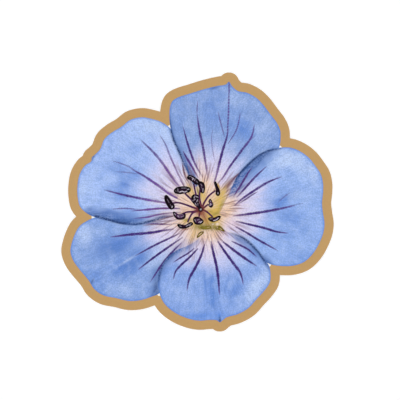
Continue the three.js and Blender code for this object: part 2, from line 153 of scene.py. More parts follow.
# Veins of each petal, drawn from the base outwards: line, greatest width and amount of ink
VEINS = {
    "top": [
        ([(1.9, 9.8), (1.3, 13.7), (0.6, 18), (-0.4, 22.7), (-1, 26.9)], 0.66, 0.72),
        ([(-1, 26.6), (-0.8, 30.5)], 0.34, 0.7),
        ([(0.6, 9.1), (-1.3, 12.3), (-2.8, 16), (-3.7, 18.8), (-4.9, 23.2)], 0.57, 0.82),
        ([(3.7, 7), (4.7, 10.6), (6.2, 16.5), (7.4, 20.4), (7.8, 22.7)], 0.66, 0.87),
        ([(7.4, 20.4), (7.8, 26.3), (8, 35.3)], 0.39, 1),
        ([(8, 32), (8, 36.2)], 0.4, 1),
        ([(6, 8.4), (8, 11.7), (11.5, 16.5), (14.3, 20.4), (15.1, 23.8)], 0.62, 0.77),
        ([(12.9, 18.5), (15.4, 20.7)], 0.36, 0.42),
        ([(7.8, 18.5), (10.1, 22.4), (11.2, 27.2)], 0.34, 0.9),
        ([(6.7, 20.4), (5.5, 24.9), (4.9, 27.4)], 0.34, 0.85),
        ([(-0.7, 9), (-2.4, 12), (-3.9, 14.5), (-4.9, 16.4)], 0.54, 1),
        ([(3.9, 13.7), (3.1, 19.3), (3.4, 22.7)], 0.34, 0.42),
    ],
    "upper_left": [
        ([(-5.6, 5.9), (-8.1, 9.2), (-10.6, 12.9), (-12.6, 15.4), (-16.8, 19.6)], 0.7, 0.62),
        ([(-4.5, 6.2), (-6.7, 10.9), (-8.7, 15.4), (-9.8, 18.2), (-11.5, 21)], 0.52, 0.55),
        ([(-5, 2.5), (-8.4, 4.2), (-12.3, 7), (-16, 9.5), (-19.3, 11.3)], 0.66, 0.88),
        ([(-17.4, 10.4), (-20.7, 12.3), (-24.9, 13.7)], 0.34, 0.6),
        ([(-17.1, 9.9), (-20.7, 10.4), (-23.8, 10.6)], 0.34, 0.52),
        ([(-7.3, 1.7), (-11.2, 2.1), (-16.8, 3.1), (-22.4, 4.3), (-26.9, 5.5)], 0.66, 0.87),
        ([(-5.6, 0.3), (-11.2, 0.3), (-14.6, 0), (-19.3, -0.4)], 0.58, 1),
        ([(-17.4, 0), (-21, 0.3), (-24.9, 0.1)], 0.4, 0.95),
        ([(-5.6, -0.7), (-11.2, -1.3), (-14.6, -2.1), (-18.8, -2.5)], 0.46, 0.85),
    ],
    "lower_left": [
        ([(-7.7, -5.5), (-10.4, -5.9), (-14, -6.5), (-19.6, -7), (-25.2, -7.7)], 0.73, 0.88),
        ([(-5, -3.6), (-9, -4.2), (-13.4, -3.9), (-16.8, -3.8)], 0.39, 0.7),
        ([(-5.8, -6.7), (-8.4, -7.9), (-12.6, -9.9), (-18.2, -12.9)], 0.54, 0.82),
        ([(-5, -7.8), (-7.5, -9.5), (-11.8, -12.5), (-14.6, -14.6), (-17.4, -16.8)], 0.59, 0.92),
        ([(-5.4, -9.4), (-7.8, -11.8), (-10.6, -15.1), (-14, -20.2)], 0.56, 0.82),
    ],
    "bottom": [
        ([(-1.8, -10.9), (-3.4, -12.2), (-5.6, -13.5), (-7.6, -14.8)], 0.43, 0.85),
        ([(-0.8, -11), (-3.1, -13.4), (-5.6, -15.7), (-7, -17.4), (-7.6, -19.6)], 0.56, 1),
        ([(1.1, -9.9), (0.2, -12.8), (-1.4, -16.2), (-3.1, -19.3), (-3.8, -22.7)], 0.68, 1),
        ([(-0.3, -13.7), (-1.1, -16)], 0.43, 0.55),
        ([(3, -9), (3.6, -12), (4.5, -16), (5, -19.6), (5.3, -23.8)], 0.72, 1),
        ([(4.9, -9), (6.6, -11.5), (9, -14.8), (11.2, -17.9), (12, -21)], 0.7, 1),
        ([(6.4, -9.1), (9.2, -11.3), (12.2, -13.5), (15.7, -15.8)], 0.68, 1),
        ([(8.8, -8.9), (10.9, -9.9), (13.2, -11.1), (15.7, -13.2)], 0.49, 0.9),
    ],
    "right": [
        ([(9.3, 3.7), (10.7, 5.9), (12.1, 8.2), (13.5, 10.5), (14.6, 12)], 0.54, 0.75),
        ([(10.2, 3.5), (11.9, 5.3), (13.4, 7), (15.5, 9.3), (18.6, 12.2)], 0.57, 0.73),
        ([(9.6, 1.1), (11.3, 2.7), (14.6, 5), (18.8, 7.6), (22.7, 9.2)], 0.63, 0.8),
        ([(10.8, 1.7), (12.7, 2.9), (14.3, 4), (16, 5)], 0.42, 0.57),
        ([(9.3, -1.8), (12.3, -1.4), (17.4, -0.7), (21.8, 0.1), (26.9, 1.3)], 0.7, 0.78),
        ([(10, -3.3), (12.9, -4), (17.9, -5.2), (21.3, -6.2), (24.6, -6.6)], 0.61, 1),
        ([(9.9, -4.9), (12.6, -6.3), (16.2, -8.5), (21.6, -11.5)], 0.57, 0.9),
        ([(21.8, 2.1), (23.5, 3.6), (25.2, 4.8)], 0.38, 0.5),
        ([(26, 1.2), (29, 1.9)], 0.3, 0.3),
    ],
}

# Veins are brown at the base, and then mauve, violet and navy. Each row gives the distances from
# the heart between which the brown goes and the mauve, violet and navy come
BROWN_GOES = (15, 18)
MAUVE_COMES = (8, 15)
VIOLET_COMES = {
    "top": (9, 17), "upper_left": (12, 23), "lower_left": (7, 14), "bottom": (7, 12),
    "right": (8, 14),
}
NAVY_COMES = (20, 28)

# How much of the violet the navy takes away
VIOLET_LOSS = 0.7

# Where veins are mauve from the base on: place, reach along and across, and tilt in degrees
MAUVE_BASES = [((-10, 8.5), (12, 7), 130), ((6.8, 11.5), (5, 4), 60)]

# Shaded edges of each petal: the edge, how far in the shade reaches, the amounts of ink at even
# steps along the edge in the shade and in the dark line beside it, and how far in the line lies
SHADES = {
    "top": [
        ([(-8.7, 26), (-8.4, 22.8), (-7.6, 19.6), (-6.1, 16.2), (-4.8, 12.9), (-3.2, 9.5),
          (-1.9, 6.2)],
         1.8, (0.15, 0.3, 0.35, 0.6, 0.9, 1, 0.8), (0.25, 0.7, 0.9, 1, 0.7, 0.6, 0.3), 0.05),
    ],
    "upper_left": [
        ([(-29.4, -2.2), (-26, -3.1), (-22.1, -4.1), (-18.2, -4.4), (-14, -3.6), (-10.6, -2.5),
          (-8, -2)],
         2.9, (0.7, 1, 1, 1, 0.85, 0.7, 0.45, 0.5, 0.2),
         (0.95, 0.9, 0.85, 0.8, 0.65, 0.8, 1, 0.6, 0), 0.3),
    ],
    "right": [
        ([(22.1, 17.3), (19.3, 16.8), (16.5, 15.5), (13.4, 13), (10.6, 9.9), (8.8, 6.4),
          (8, 4.4), (7.3, 3)],
         3.2, (0.1, 0.7, 1, 1, 1, 1, 0.95, 0), (0.4, 0.85, 0.9, 0.9, 0.8, 0.6, 0.1, 0), 0.3),
    ],
    "bottom": [
        ([(-11.1, -24.5), (-11.8, -21), (-11.5, -17.5), (-9.8, -14.1), (-7, -11.6),
          (-3.6, -10.1), (-2.4, -9.2)],
         1.8, (0, 0.1, 0.5, 0.65, 0.85, 0.9, 0.4), (0, 0.25, 0.8, 0.6, 0.4, 0, 0), 0.15),
        ([(19.6, -17.5), (17.6, -13.8), (15.4, -10.9), (12.6, -8.3), (9.8, -6.9), (7.3, -6.3)],
         2.2, (0, 0.3, 0.6, 0.65, 0.7, 0), (0, 0.8, 0.95, 0.9, 0.7, 0), 0.1),
    ],
}

# Shadows that a petal throws on the one below it: line, reach and the amounts of ink along it
CAST_SHADOWS = {
    "lower_left": [
        ([(-11.6, -24.6), (-12, -21), (-11.6, -17.5), (-9.6, -13.8)], 2.1, (1, 0.4, 0.5, 0.1)),
    ],
    "right": [
        ([(20, -16.6), (18.9, -15.2), (17.6, -13.8)], 1.2, (0.3, 1, 0.5)),
    ],
}

# Soft washes on each petal, by ink: place, reach along and across, tilt in degrees and amount
WASHES = {
    "top": {
        "deep": [
            ((3.2, 27.3), (4.5, 3), 90, 0.55), ((12, 22.7), (4, 2.4), -60, 0.9),
            ((7.8, 24.9), (4, 1.7), 90, 0.3), ((-6.2, 24.4), (4.5, 1.6), 90, 0.3),
            ((5, 33.3), (2, 1.4), 0, 0.25), ((20.7, 18.8), (2.8, 1.6), 80, 0.3),
        ],
        "edge": [((4, 34), (1.4, 0.3), 15, 0.45)],
        "pale": [((10.1, 31.4), (3.4, 2.2), 80, 0.35), ((17.4, 22.1), (3.4, 2.2), 60, 0.25)],
        "lilac": [
            ((0.8, 14.8), (3.4, 1.4), 100, 0.2), ((4.2, 15.2), (3.6, 1.5), 90, 0.25),
            ((8.1, 13.8), (4, 1.6), 62, 0.35), ((11, 12.6), (2.6, 0.9), 48, 0.5),
        ],
    },
    "upper_left": {
        "pale": [
            ((-14, 23.8), (6.5, 2.4), 10, 0.7), ((-9.5, 20.4), (4.5, 2.2), -60, 0.6),
            ((-33, 5.3), (4, 1.8), 90, 0.55),
        ],
        "deep": [
            ((-19.6, 9.8), (4, 2), -20, 0.8), ((-22.4, 4.5), (3.4, 2.4), 0, 0.75),
            ((-23.5, -1.8), (6, 1.4), -8, 0.6), ((-20.5, -0.9), (3, 1.6), 0, 0.4),
            ((-24.6, 12), (3, 1.6), 20, 0.3), ((-21.4, 7), (2, 1.2), -15, 0.7),
            ((-19.6, 16.4), (3.2, 1.6), 30, 0.35),
        ],
        "edge": [((-30.2, 14.5), (0.9, 0.35), 50, 0.7)],
        "lilac": [
            ((-14, 5.6), (4.5, 2), -10, 0.6), ((-9, 14.3), (5, 2.6), 122, 0.7),
            ((-11.8, 10.4), (4, 2), 140, 0.35),
        ],
    },
    "lower_left": {
        "deep": [
            ((-24.6, -10.9), (4.6, 2.6), 10, 0.85), ((-21, -8.8), (4, 1.8), 15, 0.6),
            ((-18.2, -14.8), (4.2, 2.2), 35, 0.95), ((-23, -16.5), (3, 2.4), 0, 0.45),
            ((-29, -19.6), (3.4, 2), -45, 0.7), ((-20.6, -16), (4.4, 3), 30, 0.4),
        ],
        "shade": [((-25, -11), (5, 2.2), 8, 0.3), ((-19, -15), (4, 1.8), 35, 0.25)],
        "edge": [((-30.3, -20.1), (0.8, 0.3), 60, 0.6), ((-12.5, -21.6), (3.2, 0.8), 85, 0.4)],
        "pale": [
            ((-20.4, -14.2), (3, 0.34), 31, 0.8), ((-32.8, -7), (2.6, 2.8), 0, 0.9),
            ((-21.5, -22), (4, 1.8), -10, 0.4), ((-11.4, -13.2), (4.6, 2.1), 42, 1.0),
        ],
        "lilac": [((-11.2, -7.6), (5, 1.8), 15, 0.5)],
        "umber": [((-6, -10.6), (3, 1.4), 24, 0.3)],
    },
    "bottom": {
        "deep": [
            ((2.6, -19.4), (4, 1.2), 96, 0.45), ((3.6, -24.6), (4.5, 2), 90, 0.75),
            ((1.3, -20.4), (4.4, 0.4), 94, 0.8), ((3.4, -21.6), (4.6, 0.36), 90, 0.8),
            ((7.4, -20.6), (3.6, 0.4), 75, 0.6), ((10.1, -22.4), (3.4, 1.6), 60, 0.85),
            ((-9, -17.1), (3, 2), 60, 0.3), ((15.4, -16.2), (2.4, 1.2), -50, 0.4),
        ],
        "rim": [((1, -29.8), (6.5, 1), 2, 0.4), ((5.3, -30.2), (1.4, 0.5), 90, 0.4)],
        "edge": [((5.4, -31.1), (1, 0.4), 90, 0.8)],
        "pale": [
            ((15.7, -21.8), (5.4, 2.2), 55, 1.0), ((-5.6, -23), (2.4, 2.4), 0, 0.25),
            ((11.6, -14.6), (2.4, 1.4), -45, 0.5),
        ],
        "lilac": [
            ((-3.4, -14.8), (2.4, 1.6), 60, 0.5), ((2.2, -13.7), (3, 2.4), 90, 0.4),
            ((6.4, -14.8), (3, 2), -60, 0.1),
        ],
    },
    "right": {
        "pale": [
            ((25.2, 14), (6.2, 2.6), -20, 1.0), ((20.5, 12.2), (2.6, 1.8), 20, 0.5),
            ((31.4, 9.5), (3.4, 2), -60, 0.55), ((27.4, 4.5), (2.6, 2), 0, 0.35),
        ],
        "deep": [
            ((21.4, 1.6), (3.2, 1.6), 40, 0.8), ((24.2, 3.4), (3.2, 1.8), 30, 0.6),
            ((22.4, -7.3), (3, 1.8), 0, 0.45), ((25.2, -2.2), (3, 2), 0, 0.75),
            ((28.3, -5.3), (2.4, 2), 0, 0.3), ((27.4, -13.4), (4, 1.8), 20, 0.35),
        ],
        "edge": [((16.6, 14.4), (4.5, 0.9), 36, 0.3)],
        "lilac": [
            ((13.2, -1.7), (4.2, 2.8), 0, 0.7), ((15.7, 5.6), (4, 2), 35, 0.7),
            ((14, -5.6), (3.4, 1.6), -15, 0.6),
        ],
    },
}

# Washes round the heart, over petals and throat alike, in the same way
HEART_WASHES = {
    "cream": [
        ((0.3, 11), (4, 1.4), 100, 0.45), ((-8.4, -4.2), (4, 0.9), 5, 0.6),
        ((-8.8, -1.8), (4, 1), 5, 0.5), ((2, -7.8), (3.4, 2), 0, 0.5),
        ((8, -1.2), (3.2, 2.6), 0, 0.25), ((9.2, 3.6), (2.6, 1.2), 50, 0.5),
        ((-3.9, 9.2), (1.8, 0.5), 115, 0.7), ((7.4, 6.6), (2, 0.8), 52, 0.7),
        ((5.6, 8.8), (2, 1.3), 60, -0.4), ((-2.4, -7.6), (2.2, 1.4), 50, 0.5),
    ],
    "blush": [
        ((-8.4, 10.9), (4, 1.8), 125, 0.35), ((9.8, -4.5), (3, 1.4), -20, 0.6),
        ((1.5, -11), (4, 3), 0, 0.4), ((-12, -6), (4, 1.6), 10, 0.5),
    ],
    "gold": [
        ((4.5, 3), (2.8, 1.5), 55, 0.5), ((5.6, 1.4), (3, 1.2), 62, 0.75),
        ((0.6, 4.2), (2.6, 0.9), 100, 0.9), ((3.4, -0.8), (2.2, 1.2), 10, 0.9),
        ((2.2, -3), (2.6, 1.6), 0, 0.6), ((-1.1, -3.8), (2.2, 1.4), 0, 0.6),
        ((-2.8, 5.3), (2.4, 0.9), 112, 0.7), ((-3.9, -3), (1.2, 0.6), 20, 0.9),
        ((-1.7, -7.1), (2.6, 1.6), 50, 0.4), ((6.4, 5.2), (2.2, 0.9), 58, 0.5),
        ((3.6, -3.2), (1.8, 1.1), 0, 0.9), ((5, 6.6), (0.8, 0.3), -66, 1.0),
        ((5, -4.9), (1, 0.8), 0, 0.9),
    ],
    "olive": [
        ((5.9, 1.3), (2, 0.45), 62, 0.6), ((-0.5, 4.8), (1.8, 0.4), 108, 0.8),
        ((-3.6, -2.9), (1.4, 0.4), 0, 0.8), ((4.2, -5.2), (1.4, 0.5), 0, 0.7),
        ((3.5, -4), (0.7, 0.5), 0, 0.7), ((4.2, -1.2), (1.2, 0.5), 20, 0.55),
        ((2.8, -0.5), (0.8, 0.4), -20, 0.45), ((1.1, -4.9), (2.8, 1), 0, 0.85),
        ((-0.4, -4.6), (1.4, 0.9), 0, 0.4), ((5, -5.2), (0.9, 0.7), 0, 0.6),
    ],
    "light": [((4.7, -4.1), (0.4, 0.35), 0, 1), ((3.5, -4.1), (0.3, 0.2), 15, 0.8)],
    "ember": [
        ((-0.5, -0.4), (1.5, 1.3), 0, 0.9), ((1, -1.9), (2.4, 0.9), -65, 0.75),
        ((5.2, 6.4), (0.5, 0.14), -66, 0.7), ((-4, -5.5), (1.2, 0.22), 8, 0.8),
    ],
    "umber": [((8.2, 7.3), (2.2, 0.7), 50, 0.5), ((-4.1, 9.5), (1.6, 0.3), 113, 0.3)],
}

# The edge of the right petal's claw, beside which the inks in the list stop within the blur
CLAW_EDGE = [(5.2, -1), (6.4, 1.3), (7, 2.6), (7.8, 4.2), (8.8, 6.4), (10.6, 9.9)]
CLAW_INKS = ("gold", "olive", "umber")
CLAW_BLUR = 0.3

# Brown shadows beside the petals' claws: line, width and amount of ink
CLAW_SHADOWS = [
    ([(10.9, 10.2), (9.5, 8.8), (8.5, 7.5)], 0.6, 0.8),
    ([(9.6, 9), (8.2, 7.4), (7.2, 5.8)], 0.5, 0.6),
    ([(9.1, 9.1), (7.4, 7.5), (6.3, 5.8)], 0.45, 0.5),
    ([(8.6, 7.4), (7.8, 6), (7.2, 4.4)], 0.5, 0.4),
    ([(8.3, 8.9), (6.6, 7.2), (5.7, 5.9)], 0.42, 0.35),
    ([(-3.3, 7.6), (-4.2, 9.1), (-4.6, 10.4), (-5.1, 13)], 0.55, 1),
    ([(-2.6, 6.2), (-3.1, 7.4), (-3.6, 8.6)], 0.5, 0.5),
    ([(-3.6, 12.4), (-2.4, 9.6), (-1.6, 7.4)], 0.8, 0.5),
    ([(-7, 11.6), (-5.6, 8.8), (-4.3, 6.6)], 0.46, 0.55),
    ([(-16, -4.4), (-12.5, -4.1), (-9.8, -4.1), (-8.4, -4.2)], 0.5, 0.9),
    ([(-13.6, -3.6), (-11, -2.8), (-9, -2.2), (-7, -1.8)], 0.5, 0.8),
    ([(-13.4, -3.9), (-11, -3.4), (-8, -3)], 0.42, 0.6),
    ([(-12, -2.1), (-8, -1.4), (-6, -1.3)], 0.4, 0.35),
    ([(5.2, -1), (6.4, 1.3), (7, 2.6), (7.8, 4.2)], 0.3, 0.5),
    ([(7.1, 2.8), (7.8, 4.3), (8.6, 6)], 0.5, 0.55),
    ([(1.2, -10), (1.8, -8.4), (2.3, -6.6)], 0.36, 0.7),
    ([(3.2, -9.2), (3, -7.9), (2.7, -6.6)], 0.34, 0.6),
    ([(5.3, -9.4), (4.4, -7.9), (3.7, -6.7)], 0.34, 0.7),
    ([(6.8, -9.4), (5.6, -8.2), (4.8, -7)], 0.34, 0.7),
    ([(10.9, -7), (9.2, -5.7), (7.4, -4.4)], 0.36, 0.7),
    ([(-1.4, -11), (-0.4, -9.5), (0.5, -8)], 0.34, 0.6),
    ([(-6.4, -7.1), (-4.6, -6), (-3, -5.2)], 0.34, 0.5),
]

# The throat: its centre, its swells, one for each petal, the bearing of the first in radians, how
# far they reach past the ring, and by what share they draw the throat's colours outwards
THROAT = {
    "centre": (0.8, 0.2), "petals": 5, "bearing": 1.36, "swell": 0.8, "pull": 0.1,
}

# Throat prints, from below: name, radius of the ring, share of the height, and nodes
THROAT_PRINTS = [
    ("throat_ground_print", 12, 0.4, ("glow_lilac",)),
    ("throat_print", 7.2, 1, ("throat_cream", "heart_yellow")),
]

# Sepal tips that show between the petals' claws: node, outline, strokes of cream on it with their
# widths and amounts, and how dark its outline is
SEPAL_TIPS = [
    ("sepal_tip_left",
     [(-1, -8), (-0.9, -7.3), (-0.4, -6.5), (0.3, -6.1), (1, -6.2), (0.7, -6.8), (0.1, -7.3),
      (-0.5, -7.8)],
     [([(-0.5, -7.2), (0.4, -6.5)], 0.28, 0.6)], 1),
    ("sepal_tip_middle",
     [(-0.1, -5.2), (0.3, -4.7), (1.3, -4.7), (2.1, -4.5), (2.8, -4.6), (3.1, -5), (2.7, -5.4),
      (1.8, -5.6), (0.7, -5.6)],
     [([(1.9, -5.1), (2.5, -4.9)], 0.32, 0.25)], 0.45),
    ("sepal_tip_right",
     [(4.2, -5.4), (4.7, -4.8), (5.4, -4.6), (5.9, -5), (6.5, -5.6), (6.9, -6.2), (6.2, -6.1),
      (5.5, -5.8), (4.8, -5.6)],
     [([(4.6, -5.2), (4.8, -5)], 0.3, 0.6), ([(5.6, -5.4), (5.9, -5.6)], 0.26, 0.6)], 1),
]

# Filaments run from the heart to their anthers
FILAMENTS = [
    [(0, 0), (-0.6, 1.8), (-1.5, 5.2), (-1.9, 7.2)],
    [(0.4, 0.2), (0, 1.8), (-0.3, 3.4), (-0.1, 5.8)],
    [(-0.6, 0.4), (-2.4, 2.6), (-4.4, 4.5)],
    [(-0.4, 0), (-2.4, 0.7), (-4.6, 1.5), (-6.2, 1.9), (-7.8, 1.8)],
    [(0.4, 0.4), (1.1, 2), (2.3, 3.8), (4.2, 5.3)],
    [(0.6, 0.2), (2.2, 1.5)],
    [(-0.4, -0.2), (-2, -0.6), (-3.6, -0.7), (-4.8, -1.1)],
    [(-0.4, -0.3), (-2.2, -1), (-3, -2.2), (-3.6, -3.6)],
    [(-0.1, -0.4), (-0.3, -1.2), (-0.4, -2.1)],
    [(0.4, 0), (1.7, -0.6), (3.4, -2.1)],
]

# Anthers: the outline of each, how far plum shows through its black, and its gleams, which are
# strokes with a width and an amount
ANTHERS = [
    ([(-3.8, 9), (-3.5, 9.5), (-2.8, 9.7), (-1.9, 9.3), (-1, 8.7), (-0.3, 8), (-0.4, 7.3),
      (-0.9, 6.9), (-1.5, 7), (-2, 7.5), (-2.8, 8.1), (-3.6, 8.5)], 0.2,
     [([(-2.4, 8.9), (-2, 8.7), (-2.2, 8.3)], 0.22, 1), ([(-1.5, 8.6), (-1.7, 8.1)], 0.18, 0.7),
      ([(-3.1, 9.2), (-2.6, 9.3)], 0.25, 0.4), ([(-1.1, 7.9), (-0.8, 7.5)], 0.18, 0.4)]),
    ([(-0.6, 7.8), (0.1, 7.9), (0.8, 7.6), (1.2, 6.9), (1.3, 6.1), (1.2, 5.3), (1, 4.7),
      (0.5, 4.5), (0, 4.8), (-0.2, 5.5), (-0.4, 6.2), (-0.7, 7)], 0.3,
     [([(0.7, 5.9), (0.65, 4.9)], 0.2, 0.8), ([(0.1, 7.1), (0.4, 6.6)], 0.26, 0.35),
      ([(0.2, 6.3), (0.4, 5.9)], 0.18, 0.2)]),
    ([(-7.5, 5.1), (-7.3, 5.7), (-6.7, 6.2), (-5.8, 6.4), (-4.7, 6.5), (-3.7, 6.4), (-2.9, 6.1),
      (-2.7, 5.6), (-2.9, 5), (-3.5, 4.7), (-4.4, 4.5), (-5.4, 4.3), (-6.4, 4.3), (-7.2, 4.6)], 0.2,
     [([(-5.8, 4.9), (-5.1, 5.1), (-4.5, 4.9), (-3.9, 5.1)], 0.3, 1),
      ([(-3.7, 5.6), (-3.2, 5.7)], 0.26, 0.75), ([(-6.4, 5.8), (-6.2, 4.9)], 0.22, 0.45),
      ([(-5.3, 6), (-3.9, 6)], 0.2, 0.4), ([(-7, 5.3), (-6.8, 5)], 0.18, 0.3)]),
    ([(-10.1, 3.7), (-10.1, 2.8), (-9.7, 1.7), (-9.1, 0.7), (-8.4, 0), (-7.7, 0.1), (-7.2, 0.7),
      (-7.4, 1.5), (-7.8, 2), (-8.2, 2.6), (-8.7, 3.3), (-9.2, 3.9), (-9.7, 4.1)], 0.1,
     [([(-7.9, 0.9), (-8, 0.6)], 0.3, 0.95), ([(-9.3, 2.9), (-8.8, 1.9)], 0.16, 0.35),
      ([(-8.5, 1.5), (-8.4, 1.1)], 0.16, 0.35)]),
    ([(3.8, 7.6), (4.2, 7.9), (4.6, 7.3), (4.9, 6.5), (5.3, 5.7), (5.5, 5), (5.5, 4.3), (5.1, 3.8),
      (4.5, 3.9), (4.2, 4.5), (4.3, 5.3), (4.2, 6), (3.9, 6.8)], 0.1,
     [([(4.9, 4.7), (4.9, 4.4)], 0.26, 0.7)]),
    ([(2.3, 2.6), (2.6, 3), (3, 2.8), (3.3, 2.2), (3.6, 1.6), (3.5, 0.9), (3, 0.5), (2.5, 0.7),
      (2.2, 1.2), (2.4, 1.7), (2.2, 2.2)], 0.8,
     [([(2.8, 1.7), (2.65, 1.1)], 0.24, 0.9), ([(3.2, 1.6), (3.1, 1.3)], 0.18, 0.6),
      ([(2.7, 2.4), (2.9, 2.2)], 0.24, 0.5)]),
    ([(-2.5, 3.7), (-2, 4.2), (-1.1, 4.2), (-0.5, 4), (-0.4, 3.2), (-0.5, 2.5), (-0.3, 1.7),
      (0.1, 0.9), (0.3, 0.1), (-0.1, -0.5), (-0.6, 0), (-1.1, 0.6), (-1.7, 1.3), (-2.3, 2),
      (-2.7, 2.7)], 0.15,
     [([(-1.8, 3.3), (-1.5, 3.8)], 0.2, 0.95), ([(-1.2, 3.6), (-0.7, 3.4)], 0.2, 0.95),
      ([(-1.9, 2.6), (-1.5, 2.9)], 0.18, 0.7), ([(-1.1, 2.1), (-0.8, 2.7)], 0.2, 0.95),
      ([(-1.5, 1.8), (-1.2, 1.2)], 0.18, 0.8), ([(-0.8, 1.2), (-0.7, 1.7)], 0.16, 0.5),
      ([(-2.2, 2.6), (-2.1, 2.2)], 0.16, 0.4)]),
    ([(-7.7, -0.7), (-7.3, -0.6), (-6.7, -1), (-6.1, -1.3), (-5.5, -1.2), (-4.7, -0.9),
      (-4.3, -1.1), (-4.1, -1.7), (-4.3, -2.4), (-4.9, -2.8), (-5.7, -2.9), (-6.5, -2.8),
      (-7.1, -2.3), (-7.5, -1.7)], 0.95,
     [([(-7.3, -1.1), (-7, -1.5)], 0.3, 0.5), ([(-6.4, -1.8), (-6, -2.1)], 0.26, 0.85),
      ([(-5.5, -2.1), (-4.7, -1.8)], 0.3, 0.35), ([(-6.3, -1.6), (-4.9, -1.4)], 0.2, 0.3)]),
    ([(-6.5, -4.2), (-6.2, -4), (-5.7, -4.3), (-5, -4.5), (-4.3, -4.3), (-3.7, -4), (-3.1, -3.6),
      (-2.5, -3.5), (-2.1, -3.8), (-2.1, -4.2), (-2.6, -4.6), (-3.3, -5), (-4.1, -5.3),
      (-4.9, -5.4), (-5.7, -5.3), (-6.3, -4.8)], 0.2,
     [([(-4, -4.7), (-3.5, -4.4), (-2.6, -4)], 0.18, 0.7), ([(-5.8, -4.6), (-5.4, -4.8)], 0.2, 0.5),
      ([(-3.1, -4.6), (-2.8, -4.4)], 0.14, 0.6)]),
    ([(-2.1, -2.6), (-1.7, -2.1), (-0.9, -2), (-0.2, -2.2), (0.4, -2.6), (0.9, -3.2), (0.7, -3.8),
      (0.1, -4.2), (-0.7, -4.3), (-1.5, -4.1), (-1.9, -3.6)], 0.6,
     [([(-0.5, -3.6), (-0.1, -3.3)], 0.22, 0.8), ([(-0.1, -3.7), (0.4, -3.3)], 0.24, 1),
      ([(-1.6, -2.8), (-1.3, -3.4)], 0.24, 0.5), ([(-0.9, -3), (-0.3, -2.7)], 0.2, 0.45)]),
    ([(2.1, -2.5), (2.5, -2.2), (3.2, -2.2), (3.9, -2.2), (4.6, -1.9), (5.2, -1.7), (5.7, -1.9),
      (5.5, -2.5), (5.1, -3), (4.3, -3.3), (3.6, -3.5), (2.9, -3.4), (2.3, -3)], 0.25,
     [([(3.7, -3.1), (4.4, -2.9), (5, -2.4)], 0.28, 1), ([(2.6, -2.6), (3.3, -2.6)], 0.2, 0.4)]),
]

# Numbers of a Mix node's colour sockets
MIX_FACTOR = 0
MIX_FIRST = 6
MIX_SECOND = 7
MIX_RESULT = 2

# Faces that meet at less than this angle, in degrees, are smoothed together
SMOOTH_ANGLE = 35

# Shares of their level's height that the margin print and the hindmost petal take, and how much
# more each petal over it takes
MARGIN_RISE = 0.4
PETAL_RISE = 0.5
PETAL_STEP = 0.1

# How far below its middle a unit sphere is flattened to make a dome
DOME_CUT = 0.5

# A pen stroke: shares of its length, and its width and its ink there as shares of the fullest
STROKE_WIDTHS = ((0, 0.3, 0.65, 1), (0.62, 0.95, 1, 0.35))
STROKE_INKS = ((0, 0.1, 0.35, 0.88, 1), (0.5, 0.85, 1, 1, 0.25))

# Shares of a stroke's half width between which its ink fades out
STROKE_FADE = (0.65, 1.3)

# A stroke's edges waver by this share of its width, slowly and quickly: beats to each point of
# its line, and a shift for each millimetre of its width
WAVER = 0.1
SLOW_WAVER = (9, 5)
QUICK_WAVER = (29, 9)

# A stroke narrower than this, in millimetres, breaks up into beads
FINE_STROKE = 0.41
BEAD_DEPTH = 0.4
BEAD_BEATS = 37

# Inks that spread from the heart over petals and throat alike: fullest amount, and the distances
# between which they fade out
GROUNDS = [("lilac", 0.9, 10.5, 20), ("blush", 0.6, 8.5, 14), ("cream", 1, 5, 10.5)]

# Distances from its line, as shares of its reach, between which a shade fades out, and the least
# share of its reach that thin ink spreads
SHADE_GOES = (1, 1.6)
SHADE_LEAST = 0.35

# Ink gathered at a petal's edge: fullest amount, and the distances between which it comes
RIM_INK = 0.6
RIM_COMES = (16, 22)

# Inks laid over a petal's blue, in order: name, and how much its streaks and its grain break it up
LAYERS = [
    ("deep", 0.2, 0.2), ("pale", 0.2, 0.2), ("lilac", 0.25, 0.1), ("blush", 0.3, 0.1),
    ("cream", 0.25, 0.1), ("gold", 0.2, 0.2), ("olive", 0.2, 0.3), ("light", 0.0, 0.0),
    ("ember", 0.3, 0.1), ("rim", 0.1, 0.3), ("shade", 0.3, 0.35), ("umber", 0.3, 0.2),
    ("edge", 0.1, 0.5), ("mauve", 0.1, 0.4), ("vein", 0.1, 0.35),
]

# Nearly all values of the noises lie between these
NOISE_RANGE = (0.3, 0.7)
SPECK_RANGE = (0.28, 0.72)

# How strongly the waviness of a surface turns the light
PEEL_STRENGTH = 0.4

# Textures of the flower's print: how fine the streaks and fibres are round the heart and how long
# they are in millimetres, and how large the specks and clouds are in millimetres
STREAKS = (18, 6)
FIBRES = (64, 3.5)
SPECK_SIZE = 0.38
CLOUD_SIZE = 2.4
FINE_DETAIL = 3.0

# How far each texture shifts a petal's wash to the paler and the deeper blue
MOTTLES = [("clouds", 0.2), ("specks", 0.12), ("fibres", 0.08)]

# The tones between which each texture darkens and lightens the whole print
PAPER_GRAIN = [("specks", (0.92, 1.08)), ("fibres", (0.97, 1.03))]

# Range of the fibres over which they hatch a shade, and the least and most ink of the hatching
HATCH = (0.1, 0.9, 0.0, 0.4)

# Fine rays in the throat: texture, the range of it over which they grow, most ink, and the ink
THROAT_RAYS = [
    ("streaks", 0.1, 1.0, 0.65, "umber"), ("fibres", 0.2, 1.0, 0.2, "mauve"),
    ("streaks", 0.0, -0.8, 0.5, "light"),
]

# Distances from the heart, in millimetres, between which these rays come and go
RAYS_COME = (2, 5)
RAYS_GO = (9, 18)

# Shares of its half width between which a plain stroke on a raised print fades out
DAB_FADE = (0.4, 1.2)

# Shares of the way from its middle to its edge between which a tip or an anther turns to its rim
SEPAL_RIM = (0.3, 0.8)
ANTHER_RIM = (0.4, 0.85)

